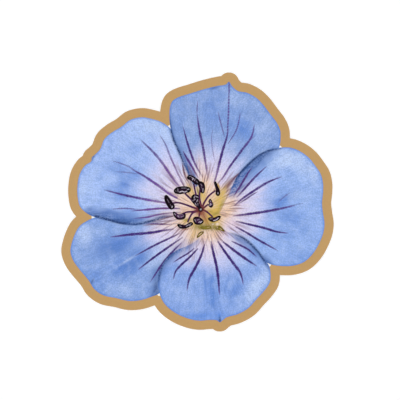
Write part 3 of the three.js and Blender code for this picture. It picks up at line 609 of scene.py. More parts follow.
# Filaments: the share of the length either side over which their direction is taken, their width
# at the heart and what it loses by the tip as shares of the given width, and how far their sides
# fall and how deep they are as shares of their height
FILAMENT_AIM = 0.02
FILAMENT_START = 1.15
FILAMENT_LOSS = 0.3
FILAMENT_FALL = 0.35
FILAMENT_DEPTH = 0.6

# Red-brown round the style, its black core and the gleam on it: amounts, places and reaches
STYLE_EMBER = 0.85
STYLE_EMBER_REACH = 1.6
STYLE_CORE_REACH = 0.75
STYLE_GLEAM = ((0.05, 0.05), (0.21, 0.21), 0, 1.0)

# Softboxes high round the sticker: azimuth, elevation and share of the light, and their distance
# and width in metres
LIGHTS = [(120, 55, 0.22), (-20, 50, 0.16), (230, 50, 0.14)]
LIGHT_DISTANCE = 1.6
LIGHT_WIDTH = 0.8

# The floor's width in metres, its tone and its glow, and how bright the dome is overhead
FLOOR_WIDTH = 20
FLOOR_TONE = (0.95, 0.95, 0.95, 1)
FLOOR_GLOW = 0.12
DOME_OVERHEAD = 0.25
WHITE = (1, 1, 1, 1)

# The camera's view: its middle, in millimetres from the heart, and its width at the sticker, the
# camera's height and the nearest and furthest things it sees, in metres
VIEW_MIDDLE = (-0.14, 2.66)
VIEW_WIDTH = 0.112
CAMERA_HEIGHT = 2.5
CAMERA_CLIP = (0.05, 50)


def linear(code):
    """Turn an sRGB hex colour into linear red, green, blue and alpha."""
    parts = [int(code[i:i + 2], 16) / 255 for i in (1, 3, 5)]
    return [p / 12.92 if p <= 0.04045 else ((p + 0.055) / 1.055) ** 2.4 for p in parts] + [1.0]


def length(name, description, millimetres):
    """A size that the user can change."""
    return bpy.props.FloatProperty(
        name=name, description=description, default=millimetres * MM, unit="LENGTH", precision=5
    )


def colour(name, description, code):
    """A colour that the user can change."""
    return bpy.props.FloatVectorProperty(
        name=name, description=description, default=linear(code), subtype="COLOR", size=4,
        min=0, max=1,
    )


class StickerSizes(bpy.types.PropertyGroup):
    """Sizes of the sticker that the user can change"""

    margin_width: length("Margin width", "Width of the plain margin round the flower", MARGIN_WIDTH)
    film_bevel: length("Film edge", "Rounding of the cut film's edges", 0.02)
    slit_place: length("Slit place", "Distance of the liner's peel slit from the heart", -8)
    slit_width: length("Slit width", "Width of the liner's peel slit", 0.3)
    rim_width: length("Rim width", "Width of the darker ink at a petal's edge", 0.38)
    edge_line: length("Edge line", "Width of the dark line where a petal lies over another", 0.38)
    filament_width: length("Filament width", "Width of a filament", 0.5)
    style_radius: length("Style radius", "Radius of the style at the heart", 0.8)


class StickerColours(bpy.types.PropertyGroup):
    """Colours of the sticker that the user can change"""

    liner: colour("Liner", "Paper of the release liner", "#ece7db")
    adhesive: colour("Adhesive", "Coat of adhesive", "#e9e7df")
    film: colour("Film", "White vinyl film", "#fbfbf9")
    margin: colour("Margin", "Plain printed margin", "#c59d66")
    top: colour("Top petal", "Wash of the top petal", "#8ba7de")
    upper_left: colour("Upper left petal", "Wash of the upper left petal", "#a7c2f8")
    lower_left: colour("Lower left petal", "Wash of the lower left petal", "#88a7e2")
    bottom: colour("Bottom petal", "Wash of the bottom petal", "#8cabea")
    right: colour("Right petal", "Wash of the right petal", "#97b6f1")
    deep: colour("Deep blue", "Darker patches of the petals", "#5f8ad8")
    pale: colour("Pale blue", "Paler patches of the petals", "#bdd2fa")
    lilac: colour("Lilac", "Paler area round the throat", "#d4d5f8")
    cream: colour("Cream", "Throat", "#f1cdaf")
    light: colour("Light", "Pale streaks in the throat", "#f6e4dc")
    gold: colour("Gold", "Patches in the throat", "#d9b65c")
    olive: colour("Olive", "Sepal tips and the patches beside them", "#8b7d34")
    bark: colour("Bark", "Outlines of the sepal tips", "#5b4d14")
    ember: colour("Ember", "Red-brown at the heart", "#8c4832")
    umber: colour("Umber", "Fine lines and shadows in the throat", "#6c4459")
    shade: colour("Shade", "Shaded edges", "#466cb2")
    edge: colour("Edge line", "Dark line along a shaded edge", "#1f3668")
    rim: colour("Rim", "Ink gathered at a petal's edge", "#2a78dc")
    blush: colour("Blush", "Pink tinge between the lilac and the cream", "#e7d4ea")
    mauve: colour("Mauve", "Veins near the heart", "#7048a2")
    vein: colour("Vein", "Veins", "#321a6c")
    filament: colour("Filament", "Filaments", "#4b2350")
    anther: colour("Anther", "Anthers", "#0c0507")
    gleam: colour("Gleam", "Highlights of the anthers", "#d6c9da")


def spline(points, closed=False, steps=CURVE_STEPS):
    """Points on a smooth centripetal curve through the given ones, steps to each span."""
    given = np.array(points, float)
    if closed:
        around = np.concatenate([given[-1:], given, given[:2]])
    else:
        around = np.concatenate([2 * given[:1] - given[1:2], given, 2 * given[-1:] - given[-2:-1]])
    spans = len(around) - 3
    before, start, end, after = (around[i:i + spans] for i in range(4))

    def gap(a, b):
        return np.maximum(np.linalg.norm(a - b, axis=1) ** 0.5, LEAST_GAP)[:, None]

    first, middle, last = gap(before, start), gap(start, end), gap(end, after)
    leave = (start - before) / first - (end - before) / (first + middle) + (end - start) / middle
    arrive = (end - start) / middle - (after - start) / (middle + last) + (after - end) / last
    t = (np.arange(steps) / steps)[None, :, None]
    line = (
        (2 * t**3 - 3 * t**2 + 1) * start[:, None]
        + (t**3 - 2 * t**2 + t) * (leave * middle)[:, None]
        + (3 * t**2 - 2 * t**3) * end[:, None]
        + (t**3 - t**2) * (arrive * middle)[:, None]
    ).reshape(-1, 2)
    return line if closed else np.concatenate([line, given[-1:]])


def along_line(line, shares):
    """Points on a line at the given shares of its length."""
    steps = np.linalg.norm(np.diff(line, axis=0), axis=1)
    places = np.concatenate([[0], np.cumsum(steps)])
    return np.stack([np.interp(shares * places[-1], places, line[:, i]) for i in range(2)], axis=1)


def nearest(points, line):
    """Distance of each point from a line, and how far along the line the nearest place is."""
    start, span = line[:-1], np.diff(line, axis=0)
    sizes = np.linalg.norm(span, axis=1)
    places = np.concatenate([[0], np.cumsum(sizes)])
    best = np.full(len(points), np.inf)
    share = np.zeros(len(points))
    for i in range(len(span)):
        t = np.clip((points - start[i]) @ span[i] / max(sizes[i] ** 2, LEAST_SQUARE), 0, 1)
        away = np.linalg.norm(points - start[i] - t[:, None] * span[i], axis=1)
        closer = away < best
        best[closer] = away[closer]
        share[closer] = ((places[i] + t * sizes[i]) / places[-1])[closer]
    return best, share


def closed_ring(edge):
    """A closed curve's points with the first one again at the end."""
    return np.concatenate([edge, edge[:1]])


def smooth(low, high, values):
    """Rise smoothly from 0 at low to 1 at high."""
    t = np.clip((values - low) / (high - low), 0, 1)
    return t * t * (3 - 2 * t)


def fade(distance, width):
    """Fall smoothly from 1 at no distance to about a third at the width."""
    return np.exp(-((distance / width) ** 2))


def stroke(points, line, width, ink):
    """A pen stroke that starts faint, is fullest past its middle and runs out to a fine tip. Its
    edges waver as a hand does."""
    away, share = nearest(points, spline(line))
    beat = share * len(line)
    slow = WAVER * np.sin(SLOW_WAVER[0] * beat + SLOW_WAVER[1] * width)
    quick = WAVER * np.sin(QUICK_WAVER[0] * beat + QUICK_WAVER[1] * width)
    half = width / 2 * np.interp(share, *STROKE_WIDTHS) * (1 + slow + quick)
    strength = ink * np.interp(share, *STROKE_INKS)
    if width < FINE_STROKE:
        strength = strength * (1 - BEAD_DEPTH + BEAD_DEPTH * np.sin(BEAD_BEATS * beat))
    return strength * (1 - smooth(*STROKE_FADE, away / half))


def patch(points, place, reach, tilt, amount):
    """A soft oval patch of ink."""
    turn = math.radians(tilt)
    off = points - np.array(place)
    ahead = off @ np.array([math.cos(turn), math.sin(turn)])
    aside = off @ np.array([-math.sin(turn), math.cos(turn)])
    return amount * np.exp(-((ahead / reach[0]) ** 2) - (aside / reach[1]) ** 2)


def petal_edge(name):
    """The outline of a petal."""
    return spline(PETALS[name]["outline"], closed=True)


def flower_edge():
    """Points on the outlines of all the petals."""
    return np.concatenate([petal_edge(name) for name in PETALS])


def rays(angles):
    """A step of length 1 in each direction."""
    return np.stack([np.cos(angles), np.sin(angles)], axis=1)


def bearings(places):
    """The direction in which each place lies."""
    return np.arctan2(places[:, 1], places[:, 0])


def reach_of(edge, directions, radius):
    """How far the furthest point within a radius of the edge lies in each direction."""
    ahead = directions @ edge.T
    aside = np.abs(
        np.outer(directions[:, 0], edge[:, 1]) - np.outer(directions[:, 1], edge[:, 0])
    )
    inside = (ahead > 0) & (aside < radius)
    bulge = np.sqrt(np.maximum(radius**2 - aside**2, 0))
    return np.where(inside, ahead + bulge, 0).max(axis=1)


def cut_edge(angles, margin):
    """The cut edge's place about the heart in each direction, in millimetres."""
    directions = rays(angles)
    return directions * reach_of(flower_edge(), directions, margin)[:, None]


def margin_inner_edge(angles):
    """The place of the margin print's inner edge in each direction, in millimetres."""
    directions = rays(angles)
    inner = reach_of(flower_edge(), directions, MARGIN_CONTACT) - MARGIN_CONTACT - MARGIN_TUCK
    for x, y, radius in BARE_CORNERS:
        inner = np.maximum(inner, reach_of(np.array([[x, y]]), directions, radius))
    return directions * inner[:, None]


def heart_place(margin):
    """Where the heart lies in the frame, in millimetres: the cut edge fills the film's box."""
    edge = cut_edge(np.linspace(0, 2 * math.pi, CUT_POINTS, endpoint=False), margin)
    low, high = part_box("vinyl_film")
    centre = np.array([(low.x + high.x) / 2, (low.y + high.y) / 2]) / MM
    return centre - (edge.min(axis=0) + edge.max(axis=0)) / 2


HEART = heart_place(MARGIN_WIDTH)


def levels(node):
    """The heights of a node's underside and top, in millimetres."""
    low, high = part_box(node)
    return low.z / MM, high.z / MM


def select_nothing():
    """Deselect every object, so that an operator acts only on what is added next."""
    bpy.ops.object.select_all(action="DESELECT")


def select_only(piece):
    """Select one piece and make it the active one."""
    select_nothing()
    piece.select_set(True)
    bpy.context.view_layer.objects.active = piece


def named(name):
    """Name the piece that a primitive has just made."""
    piece = bpy.context.object
    piece.name = name
    piece.data.name = name
    return piece


def read_vertices(piece):
    """The vertices of a piece as they stand."""
    values = np.empty(len(piece.data.vertices) * 3)
    piece.data.vertices.foreach_get("co", values)
    return values.reshape(-1, 3)


def place_vertices(piece, flat, heights):
    """Put each vertex at its place about the heart and its height, both in millimetres."""
    low, high = (np.array(corner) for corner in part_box("vinyl_film"))
    values = np.empty((len(flat), 3))
    values[:, :2] = np.clip((flat + HEART) * MM, low[:2], high[:2])
    values[:, 2] = heights * MM
    piece.data.vertices.foreach_set("co", values.ravel())
    piece.data.update()


def flat_places(piece):
    """Where each vertex lies about the heart, seen from above, in millimetres."""
    return read_vertices(piece)[:, :2] / MM - HEART


def add_grid(name, across, along):
    """Add a flat grid from -1 to 1 each way, and give the places of its vertices."""
    select_nothing()
    bpy.ops.mesh.primitive_grid_add(x_subdivisions=across, y_subdivisions=along, size=2)
    piece = named(name)
    return piece, read_vertices(piece)[:, :2]


def edit(piece, *steps):
    """Run operators on all of a piece in edit mode."""
    select_only(piece)
    bpy.ops.object.mode_set(mode="EDIT")
    bpy.ops.mesh.select_all(action="SELECT")
    for step in steps:
        step()
    bpy.ops.object.mode_set(mode="OBJECT")


def face_up(piece):
    """Turn a flat piece's faces upwards."""
    if piece.data.polygons[0].normal.z < 0:
        edit(piece, bpy.ops.mesh.flip_normals)


def close_below(piece, thickness):
    """Turn a flat piece's faces upwards, draw its open edge down and close it underneath."""
    face_up(piece)
    edit(
        piece,
        bpy.ops.mesh.region_to_loop,
        lambda: bpy.ops.mesh.extrude_edges_move(
            TRANSFORM_OT_translate={"value": (0, 0, -thickness * MM)}
        ),
        bpy.ops.mesh.edge_face_add,
        lambda: bpy.ops.mesh.select_all(action="SELECT"),
        lambda: bpy.ops.mesh.normals_make_consistent(inside=False),
    )


def apply_modifier(piece, kind, **settings):
    """Add a modifier with its settings and apply it."""
    select_only(piece)
    modifier = piece.modifiers.new(kind.title(), kind)
    for key, value in settings.items():
        setattr(modifier, key, value)
    bpy.ops.object.modifier_apply(modifier=modifier.name)


def finish_piece(piece, material, slot, *nodes):
    """Give a piece its finish and hide the nodes that it stands for."""
    piece.data.materials.clear()
    piece.data.materials.append(material)
    select_only(piece)
    bpy.ops.object.shade_smooth_by_angle(angle=math.radians(SMOOTH_ANGLE))
    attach(piece, BODY)
    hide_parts(*nodes)


def cut_sheet(name, node, margin):
    """A sheet with the sticker's cut edge, as thick as its node."""
    bottom, top = levels(node)
    select_nothing()
    bpy.ops.mesh.primitive_circle_add(vertices=CUT_POINTS, fill_type="NGON")
    piece = named(name)
    start = read_vertices(piece)
    place_vertices(piece, cut_edge(bearings(start), margin), np.full(len(start), top))
    close_below(piece, top - bottom)
    return piece


def raised_oval(name, shape):
    """A low dome on a flat underside. Shape turns places on a unit disc into places about the
    heart, and gives the heights of the underside and the crown."""
    select_nothing()
    bpy.ops.mesh.primitive_uv_sphere_add(segments=ANTHER_SIDES, ring_count=ANTHER_RINGS, radius=1)
    piece = named(name)
    start = read_vertices(piece)
    flat, bottom, top = shape(start[:, :2])
    rise = np.clip((start[:, 2] + DOME_CUT) / (1 + DOME_CUT), 0, 1)
    place_vertices(piece, flat, bottom + (top - bottom) * rise)
    return piece, start[:, :2]


def outlined(name, outline, bottom, top):
    """A low dome whose edge follows an outline, and where each vertex came from on a unit disc."""
    edge = spline(outline, closed=True)
    after = np.roll(edge, -1, axis=0)
    if np.sum(edge[:, 0] * after[:, 1] - after[:, 0] * edge[:, 1]) < 0:
        edge = edge[::-1]
    centre = np.mean(edge, axis=0)
    ring = closed_ring(edge)

    def shape(disc):
        share = bearings(disc) / (2 * math.pi) % 1
        spread = np.linalg.norm(disc, axis=1)[:, None]
        return centre + spread * (along_line(ring, share) - centre), bottom, top

    return raised_oval(name, shape)


def add_node(tree, kind, inputs=None, **settings):
    """Add a node with its settings, and its inputs as values or as links from other sockets."""
    node = tree.nodes.new(kind)
    for key, value in settings.items():
        setattr(node, key, value)
    for key, value in (inputs or {}).items():
        if isinstance(value, bpy.types.NodeSocket):
            tree.links.new(value, node.inputs[key])
        else:
            node.inputs[key].default_value = value
    return node


def new_material(name, roughness, gloss):
    """A material with a plain shader of the given roughness and gloss."""
    material = bpy.data.materials.new(name)
    material.use_nodes = True
    shader = material.node_tree.nodes["Principled BSDF"]
    shader.inputs["Roughness"].default_value = roughness
    shader.inputs["Specular IOR Level"].default_value = gloss
    return material, material.node_tree, shader


def object_place(tree):
    """Object coordinates, in metres."""
    return add_node(tree, "ShaderNodeTexCoord").outputs["Object"]


def about_heart(tree):
    """Object coordinates in metres about the heart."""
    heart = (-HEART[0] * MM, -HEART[1] * MM, 0)
    return add_node(
        tree, "ShaderNodeMapping", {"Vector": object_place(tree), "Location": heart}
    ).outputs["Vector"]


def heart_length(tree, place):
    """The distance from the heart in the material, in metres."""
    return add_node(
        tree, "ShaderNodeVectorMath", {0: place}, operation="LENGTH"
    ).outputs["Value"]


def noise(tree, vector, size, detail=2.0):
    """Noise whose blotches measure size millimetres."""
    return add_node(
        tree, "ShaderNodeTexNoise", {"Vector": vector, "Scale": 1 / (size * MM), "Detail": detail}
    ).outputs["Fac"]


def ray_noise(tree, place, count, reach):
    """Noise drawn out along rays from the heart: count sets how fine the rays are, and reach is
    their length in millimetres."""
    direction = add_node(tree, "ShaderNodeVectorMath", {0: place}, operation="NORMALIZE")
    sides = add_node(tree, "ShaderNodeSeparateXYZ", {0: direction.outputs["Vector"]}).outputs
    drawn = add_node(
        tree,
        "ShaderNodeCombineXYZ",
        {
            "X": maths(tree, "MULTIPLY", sides["X"], count),
            "Y": maths(tree, "MULTIPLY", sides["Y"], count),
            "Z": maths(tree, "DIVIDE", heart_length(tree, place), reach * MM),
        },
    )
    return add_node(
        tree,
        "ShaderNodeTexNoise",
        {"Vector": drawn.outputs["Vector"], "Scale": 1.0, "Detail": FINE_DETAIL},
    ).outputs["Fac"]


def between(tree, value, low, high, to_low, to_high):
    """Map a value from one range to another, smoothly and without going past its ends."""
    return add_node(
        tree,
        "ShaderNodeMapRange",
        {"Value": value, "From Min": low, "From Max": high, "To Min": to_low, "To Max": to_high},
        interpolation_type="SMOOTHSTEP",
    ).outputs["Result"]


def blend(tree, factor, first, second, mode="MIX"):
    """Mix two colours."""
    return add_node(
        tree,
        "ShaderNodeMix",
        {MIX_FACTOR: factor, MIX_FIRST: first, MIX_SECOND: second},
        data_type="RGBA",
        blend_type=mode,
    ).outputs[MIX_RESULT]


def maths(tree, operation, *values, clamp=False):
    """The result of a Math node."""
    return add_node(
        tree, "ShaderNodeMath", dict(enumerate(values)), operation=operation, use_clamp=clamp
    ).outputs[0]


def vertex_ink(tree, ink):
    """The amount of an ink that the vertices carry."""
    return add_node(tree, "ShaderNodeAttribute", attribute_name=ink).outputs["Fac"]


def grain(tree, tint, tones, *sizes):
    """Darken and lighten a colour between two tones, by noise of each size in millimetres."""
    place = object_place(tree)
    for size in sizes:
        tone = between(tree, noise(tree, place, size), *NOISE_RANGE, *tones)
        tint = blend(tree, 1.0, tint, tone, "MULTIPLY")
    return tint


def orange_peel(tree, shader, size, depth):
    """A faint waviness of the surface, size and depth in millimetres."""
    bump = add_node(
        tree,
        "ShaderNodeBump",
        {
            "Strength": PEEL_STRENGTH,
            "Distance": depth * MM,
            "Height": noise(tree, object_place(tree), size),
        },
    )
    tree.links.new(bump.outputs["Normal"], shader.inputs["Normal"])


def release_paper(colours):
    """Glassine release paper, calendered: pale cream with faint fibres, nearly matt."""
    material, tree, shader = new_material("glassine_release_paper", roughness=0.6, gloss=0.3)
    tint = grain(tree, tuple(colours.liner), (0.95, 1.03), 0.5, 3)
    tree.links.new(tint, shader.inputs["Base Color"])
    orange_peel(tree, shader, size=0.3, depth=0.01)
    return material


def acrylic_adhesive(colours):
    """Clear acrylic pressure-sensitive adhesive, roller coated: a thin, milky, glossy line."""
    material, tree, shader = new_material("acrylic_adhesive_coat", roughness=0.3, gloss=0.5)
    tint = grain(tree, tuple(colours.adhesive), (0.96, 1.02), 0.6)
    tree.links.new(tint, shader.inputs["Base Color"])
    return material


def white_vinyl(colours):
    """Calendered white PVC film: clean white with a soft sheen along the cut edge."""
    material, tree, shader = new_material("calendered_white_vinyl", roughness=0.4, gloss=0.4)
    tint = grain(tree, tuple(colours.film), (0.99, 1.01), 0.8)
    tree.links.new(tint, shader.inputs["Base Color"])
    orange_peel(tree, shader, size=0.6, depth=0.01)
    return material


def margin_print(colours):
    """Solid tan inkjet print under matt laminate: even, with only a trace of print grain."""
    material, tree, shader = new_material("matt_laminated_tan_print", roughness=0.5, gloss=0.25)
    tint = grain(tree, tuple(colours.margin), (0.98, 1.02), 0.4)
    tree.links.new(tint, shader.inputs["Base Color"])
    orange_peel(tree, shader, size=0.5, depth=0.01)
    return material


def bloom_print(name, colours, blue):
    """Watercolour washes in inkjet print under matt laminate: soft streaks run out from the
    heart, over a fine paper grain, with no gloss to hide them."""
    material, tree, shader = new_material(name, roughness=0.5, gloss=0.25)
    place = about_heart(tree)
    textures = print_textures(tree, place)
    tint = tuple(blue)
    for ink, by_streaks, by_grain in LAYERS:
        share = maths(tree, "MULTIPLY_ADD", textures["streaks"], by_streaks, 1.0)
        share = maths(tree, "MULTIPLY_ADD", textures["specks"], by_grain, share)
        amount = maths(tree, "MULTIPLY", vertex_ink(tree, ink), share, clamp=True)
        tint = blend(tree, amount, tint, tuple(getattr(colours, ink)))
        if ink == "pale":
            for texture, most in MOTTLES:
                tint = mottle(tree, tint, colours, textures[texture], most)
        if ink == "cream":
            tint = throat_rays(tree, tint, colours, place, textures)
        if ink == "shade":
            hatch = maths(tree, "MULTIPLY", amount, between(tree, textures["fibres"], *HATCH))
            tint = blend(tree, hatch, tint, tuple(colours.edge))
    for texture, tones in PAPER_GRAIN:
        tone = between(tree, textures[texture], -1.0, 1.0, *tones)
        tint = blend(tree, 1.0, tint, tone, "MULTIPLY")
    tree.links.new(tint, shader.inputs["Base Color"])
    orange_peel(tree, shader, size=0.5, depth=0.01)
    return material


def print_textures(tree, place):
    """The textures of the flower's print, each from -1 to 1."""
    noises = {
        "streaks": (ray_noise(tree, place, *STREAKS), NOISE_RANGE),
        "fibres": (ray_noise(tree, place, *FIBRES), NOISE_RANGE),
        "specks": (noise(tree, place, SPECK_SIZE, FINE_DETAIL), SPECK_RANGE),
        "clouds": (noise(tree, place, CLOUD_SIZE, FINE_DETAIL), NOISE_RANGE),
    }
    return {key: between(tree, fac, *ends, -1.0, 1.0) for key, (fac, ends) in noises.items()}


def mottle(tree, tint, colours, tone, most):
    """Shift a wash towards the paler blue where tone is high and the deeper where it is low."""
    paler = between(tree, tone, 0.0, 1.0, 0.0, most)
    deeper = between(tree, tone, 0.0, -1.0, 0.0, most)
    tint = blend(tree, paler, tint, tuple(colours.pale))
    return blend(tree, deeper, tint, tuple(colours.deep))


def throat_rays(tree, tint, colours, place, textures):
    """Draw the fine rays of the throat over a wash."""
    distance = heart_length(tree, place)
    near = between(tree, distance, *(end * MM for end in RAYS_COME), 0.0, 1.0)
    far = between(tree, distance, *(end * MM for end in RAYS_GO), 1.0, 0.0)
    zone = maths(tree, "MULTIPLY", near, far)
    for texture, low, high, most, ink in THROAT_RAYS:
        amount = between(tree, textures[texture], low, high, 0.0, most)
        amount = maths(tree, "MULTIPLY", zone, amount)
        tint = blend(tree, amount, tint, tuple(getattr(colours, ink)))
    return tint


def dark_print(name, body, touches, colours):
    """Raised ink drawn with a fine pen under matt laminate: dense body colour, touched in with
    the lighter inks that its vertices carry."""
    material, tree, shader = new_material(name, roughness=0.6, gloss=0.04)
    tint = tuple(body)
    for ink, target in touches:
        tint = blend(tree, vertex_ink(tree, ink), tint, tuple(getattr(colours, target)))
    tint = grain(tree, tint, (0.85, 1.1), 0.3)
    tree.links.new(tint, shader.inputs["Base Color"])
    return material


def paint(piece, ink, amounts):
    """Keep an amount of ink on each vertex."""
    layer = piece.data.attributes.new(ink, "FLOAT", "POINT")
    layer.data.foreach_set("value", np.clip(amounts, 0, 1).astype(np.float32))


def paint_strokes(piece, ink, strokes):
    """Keep the amounts of ink of plain strokes on each vertex of a piece."""
    flat = flat_places(piece)
    amounts = np.zeros(len(flat))
    for line, width, amount in strokes:
        away, _ = nearest(flat, spline(line))
        amounts = np.maximum(amounts, amount * (1 - smooth(*DAB_FADE, away / (width / 2))))
    paint(piece, ink, amounts)


def throat_lobes(angles):
    """1 where the throat swells most, towards the middles of the petals, and -1 between them."""
    return np.cos(THROAT["petals"] * (angles - THROAT["bearing"]))


def heart_distance(flat):
    """Distance from the heart, shorter towards the petals' middles, where the throat's colour
    runs further out."""
    off = flat - np.array(THROAT["centre"])
    return np.linalg.norm(off, axis=1) / (1 + THROAT["pull"] * throat_lobes(bearings(off)))


def beside_claw(flat):
    """1 on the top petal's side of the right petal's claw edge, and 0 beyond the edge."""
    start, end = np.array(CLAW_EDGE[0]), np.array(CLAW_EDGE[-1])
    ahead = (end - start) / np.linalg.norm(end - start)
    away, _ = nearest(flat, spline(CLAW_EDGE))
    off = flat - start
    is_beyond = ahead[0] * off[:, 1] - ahead[1] * off[:, 0] < 0
    is_level = (off @ ahead > 0) & (off @ ahead < np.linalg.norm(end - start))
    return np.where(is_beyond & is_level, 1 - smooth(0, CLAW_BLUR, away), 1)


def along_shade(flat, line, ink):
    """Distance of each place from a shaded edge, and the amount of ink there along the edge."""
    away, share = nearest(flat, spline(line))
    return away, np.interp(share, np.linspace(0, 1, len(ink)), ink)


def deepen(amounts, ink, values):
    """Lay an ink over what is there of it, without adding the two up."""
    amounts[ink] = np.maximum(amounts[ink], values)


def draw_washes(amounts, flat, name):
    """Lay the washes of the throat, of the petal's claws and of a petal of the given name."""
    distance = heart_distance(flat)
    for ink, amount, low, high in GROUNDS:
        amounts[ink] += amount * (1 - smooth(low, high, distance))
    for washes in (HEART_WASHES, WASHES.get(name, {})):
        for ink, patches in washes.items():
            for values in patches:
                amounts[ink] += patch(flat, *values)
    for ink in CLAW_INKS:
        amounts[ink] *= beside_claw(flat)
    for line, width, ink in CLAW_SHADOWS:
        deepen(amounts, "umber", stroke(flat, line, width, ink))


def draw_veins(amounts, flat, name):
    """Draw a petal's veins in the inks that they turn to outwards."""
    veins = np.zeros(len(flat))
    for line, width, ink in VEINS[name]:
        veins = np.maximum(veins, stroke(flat, line, width, ink))
    away = np.linalg.norm(flat, axis=1)
    mauve = smooth(*MAUVE_COMES, away)
    for place, reach, tilt in MAUVE_BASES:
        mauve = np.maximum(mauve, patch(flat, place, reach, tilt, 1))
    navy = smooth(*NAVY_COMES, away)
    deepen(amounts, "umber", veins * (1 - smooth(*BROWN_GOES, away)))
    amounts["mauve"] = veins * mauve
    amounts["vein"] = veins * smooth(*VIOLET_COMES[name], away) * (1 - VIOLET_LOSS * navy)
    deepen(amounts, "edge", veins * navy)


def draw_edges(amounts, flat, name, sizes):
    """Draw a petal's shaded edges, the shadows on it, the dark lines beside it and its rim."""
    inwards, _ = nearest(flat, closed_ring(petal_edge(name)))
    for line, reach, ink, _, _ in SHADES.get(name, []):
        beside, strength = along_shade(flat, line, ink)
        strength *= 1 - smooth(*SHADE_GOES, beside / reach)
        width = reach * (SHADE_LEAST + (1 - SHADE_LEAST) * strength)
        deepen(amounts, "shade", strength * fade(inwards, width))
    for line, reach, ink in CAST_SHADOWS.get(name, []):
        beside, strength = along_shade(flat, line, ink)
        deepen(amounts, "shade", strength * fade(beside, reach))
    for owner, lines in SHADES.items():
        for line, _, _, ink, inset in lines:
            beside, strength = along_shade(flat, line, ink)
            off = beside - inset if owner == name else beside + inset
            deepen(amounts, "edge", strength * fade(off * MM, sizes.edge_line))
    outer = RIM_INK * smooth(*RIM_COMES, np.linalg.norm(flat, axis=1))
    deepen(amounts, "rim", outer * fade(inwards * MM, sizes.rim_width))


def paint_bloom(piece, name=None):
    """Paint the washes on a piece of the bloom, and its veins and edges if it is a petal."""
    flat = flat_places(piece)
    amounts = {ink: np.zeros(len(flat)) for ink, _, _ in LAYERS}
    draw_washes(amounts, flat, name)
    if name:
        draw_veins(amounts, flat, name)
        draw_edges(amounts, flat, name, bpy.context.scene.sticker_sizes)
    for ink, values in amounts.items():
        paint(piece, ink, values)


def petal_patch(name, across, along):
    """Places on a petal: across runs from one side to the other, along from its claw outwards."""
    edge = petal_edge(name)
    first, second = (turn * CURVE_STEPS for turn in PETALS[name]["turns"])
    last = (len(PETALS[name]["outline"]) - 1) * CURVE_STEPS
    near_side = edge[:first + 1]
    far_edge = edge[first:second + 1]
    far_side = edge[second:last + 1][::-1]
    claw = np.concatenate([edge[last:], edge[:1]])[::-1]
    u, v = across[:, None], along[:, None]
    sides = (1 - u) * along_line(near_side, along) + u * along_line(far_side, along)
    ends = (1 - v) * along_line(claw, across) + v * along_line(far_edge, across)
    corners = (
        (1 - u) * (1 - v) * claw[0] + u * (1 - v) * claw[-1]
        + (1 - u) * v * far_edge[0] + u * v * far_edge[-1]
    )
    return sides + ends - corners


class STICKER_OT_sheets(bpy.types.Operator):
    """Add the liner halves, the adhesive and the film, all with the cut edge"""

    bl_idname = "sticker.add_sheets"
    bl_label = "Sheets"

    def execute(self, context):
        sizes = context.scene.sticker_sizes
        colours = context.scene.sticker_colours
        margin = sizes.margin_width / MM
        paper = release_paper(colours)
        slit = HEART[0] * MM + sizes.slit_place
        for node, side in (("liner_left", -1), ("liner_right", 1)):
            half = cut_sheet(f"{node}_paper", node, margin)
            edit(
                half,
                lambda: bpy.ops.mesh.bisect(
                    plane_co=(slit + side * sizes.slit_width / 2, 0, 0),
                    plane_no=(side, 0, 0),
                    use_fill=True,
                    clear_inner=True,
                ),
            )
            finish_piece(half, paper, "liner_paper", node)
        coat = cut_sheet("adhesive_coat", "adhesive", margin)
        finish_piece(coat, acrylic_adhesive(colours), "adhesive", "adhesive")
        film = cut_sheet("film_sheet", "vinyl_film", margin)
        apply_modifier(film, "BEVEL", width=sizes.film_bevel, segments=2, limit_method="ANGLE")
        finish_piece(film, white_vinyl(colours), "film_vinyl", "vinyl_film")
        return {"FINISHED"}


class STICKER_OT_margin(bpy.types.Operator):
    """Add the plain printed margin, which runs in under the petals"""

    bl_idname = "sticker.add_margin"
    bl_label = "Margin"

    def execute(self, context):
        bottom, ceiling = levels("print_border")
        top = bottom + MARGIN_RISE * (ceiling - bottom)
        select_nothing()
        bpy.ops.mesh.primitive_circle_add(vertices=CUT_POINTS, fill_type="NOTHING")
        ring = named("margin_print")
        edit(ring, bpy.ops.mesh.extrude_edges_move)
        angles = bearings(read_vertices(ring))
        outer = cut_edge(angles, context.scene.sticker_sizes.margin_width / MM)
        is_inner = (np.arange(len(angles)) >= CUT_POINTS)[:, None]
        flat = np.where(is_inner, margin_inner_edge(angles), outer)
        place_vertices(ring, flat, np.full(len(flat), top))
        face_up(ring)
        apply_modifier(ring, "SOLIDIFY", thickness=(top - bottom) * MM, offset=-1.0)
        finish_piece(ring, margin_print(context.scene.sticker_colours), "ink_tan", "print_border")
        return {"FINISHED"}


class STICKER_OT_petals(bpy.types.Operator):
    """Add the five printed petals, each a little above the one that it lies over"""

    bl_idname = "sticker.add_petals"
    bl_label = "Petals"

    def execute(self, context):
        colours = context.scene.sticker_colours
        for order, name in enumerate(PETALS):
            node = f"petal_{name}"
            bottom, ceiling = levels(node)
            top = bottom + (ceiling - bottom) * (PETAL_RISE + PETAL_STEP * order)
            petal, start = add_grid(f"{node}_print", PETAL_ACROSS, PETAL_ALONG)
            flat = petal_patch(name, (start[:, 0] + 1) / 2, (start[:, 1] + 1) / 2)
            place_vertices(petal, flat, np.full(len(flat), top))
            close_below(petal, top - bottom)
            paint_bloom(petal, name)
            shades = [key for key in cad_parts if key.startswith(f"shade_{name}")]
            material = bloom_print(f"watercolour_print_{name}", colours, getattr(colours, name))
            finish_piece(petal, material, PETALS[name]["slot"], node, f"veins_{name}", *shades)
        return {"FINISHED"}


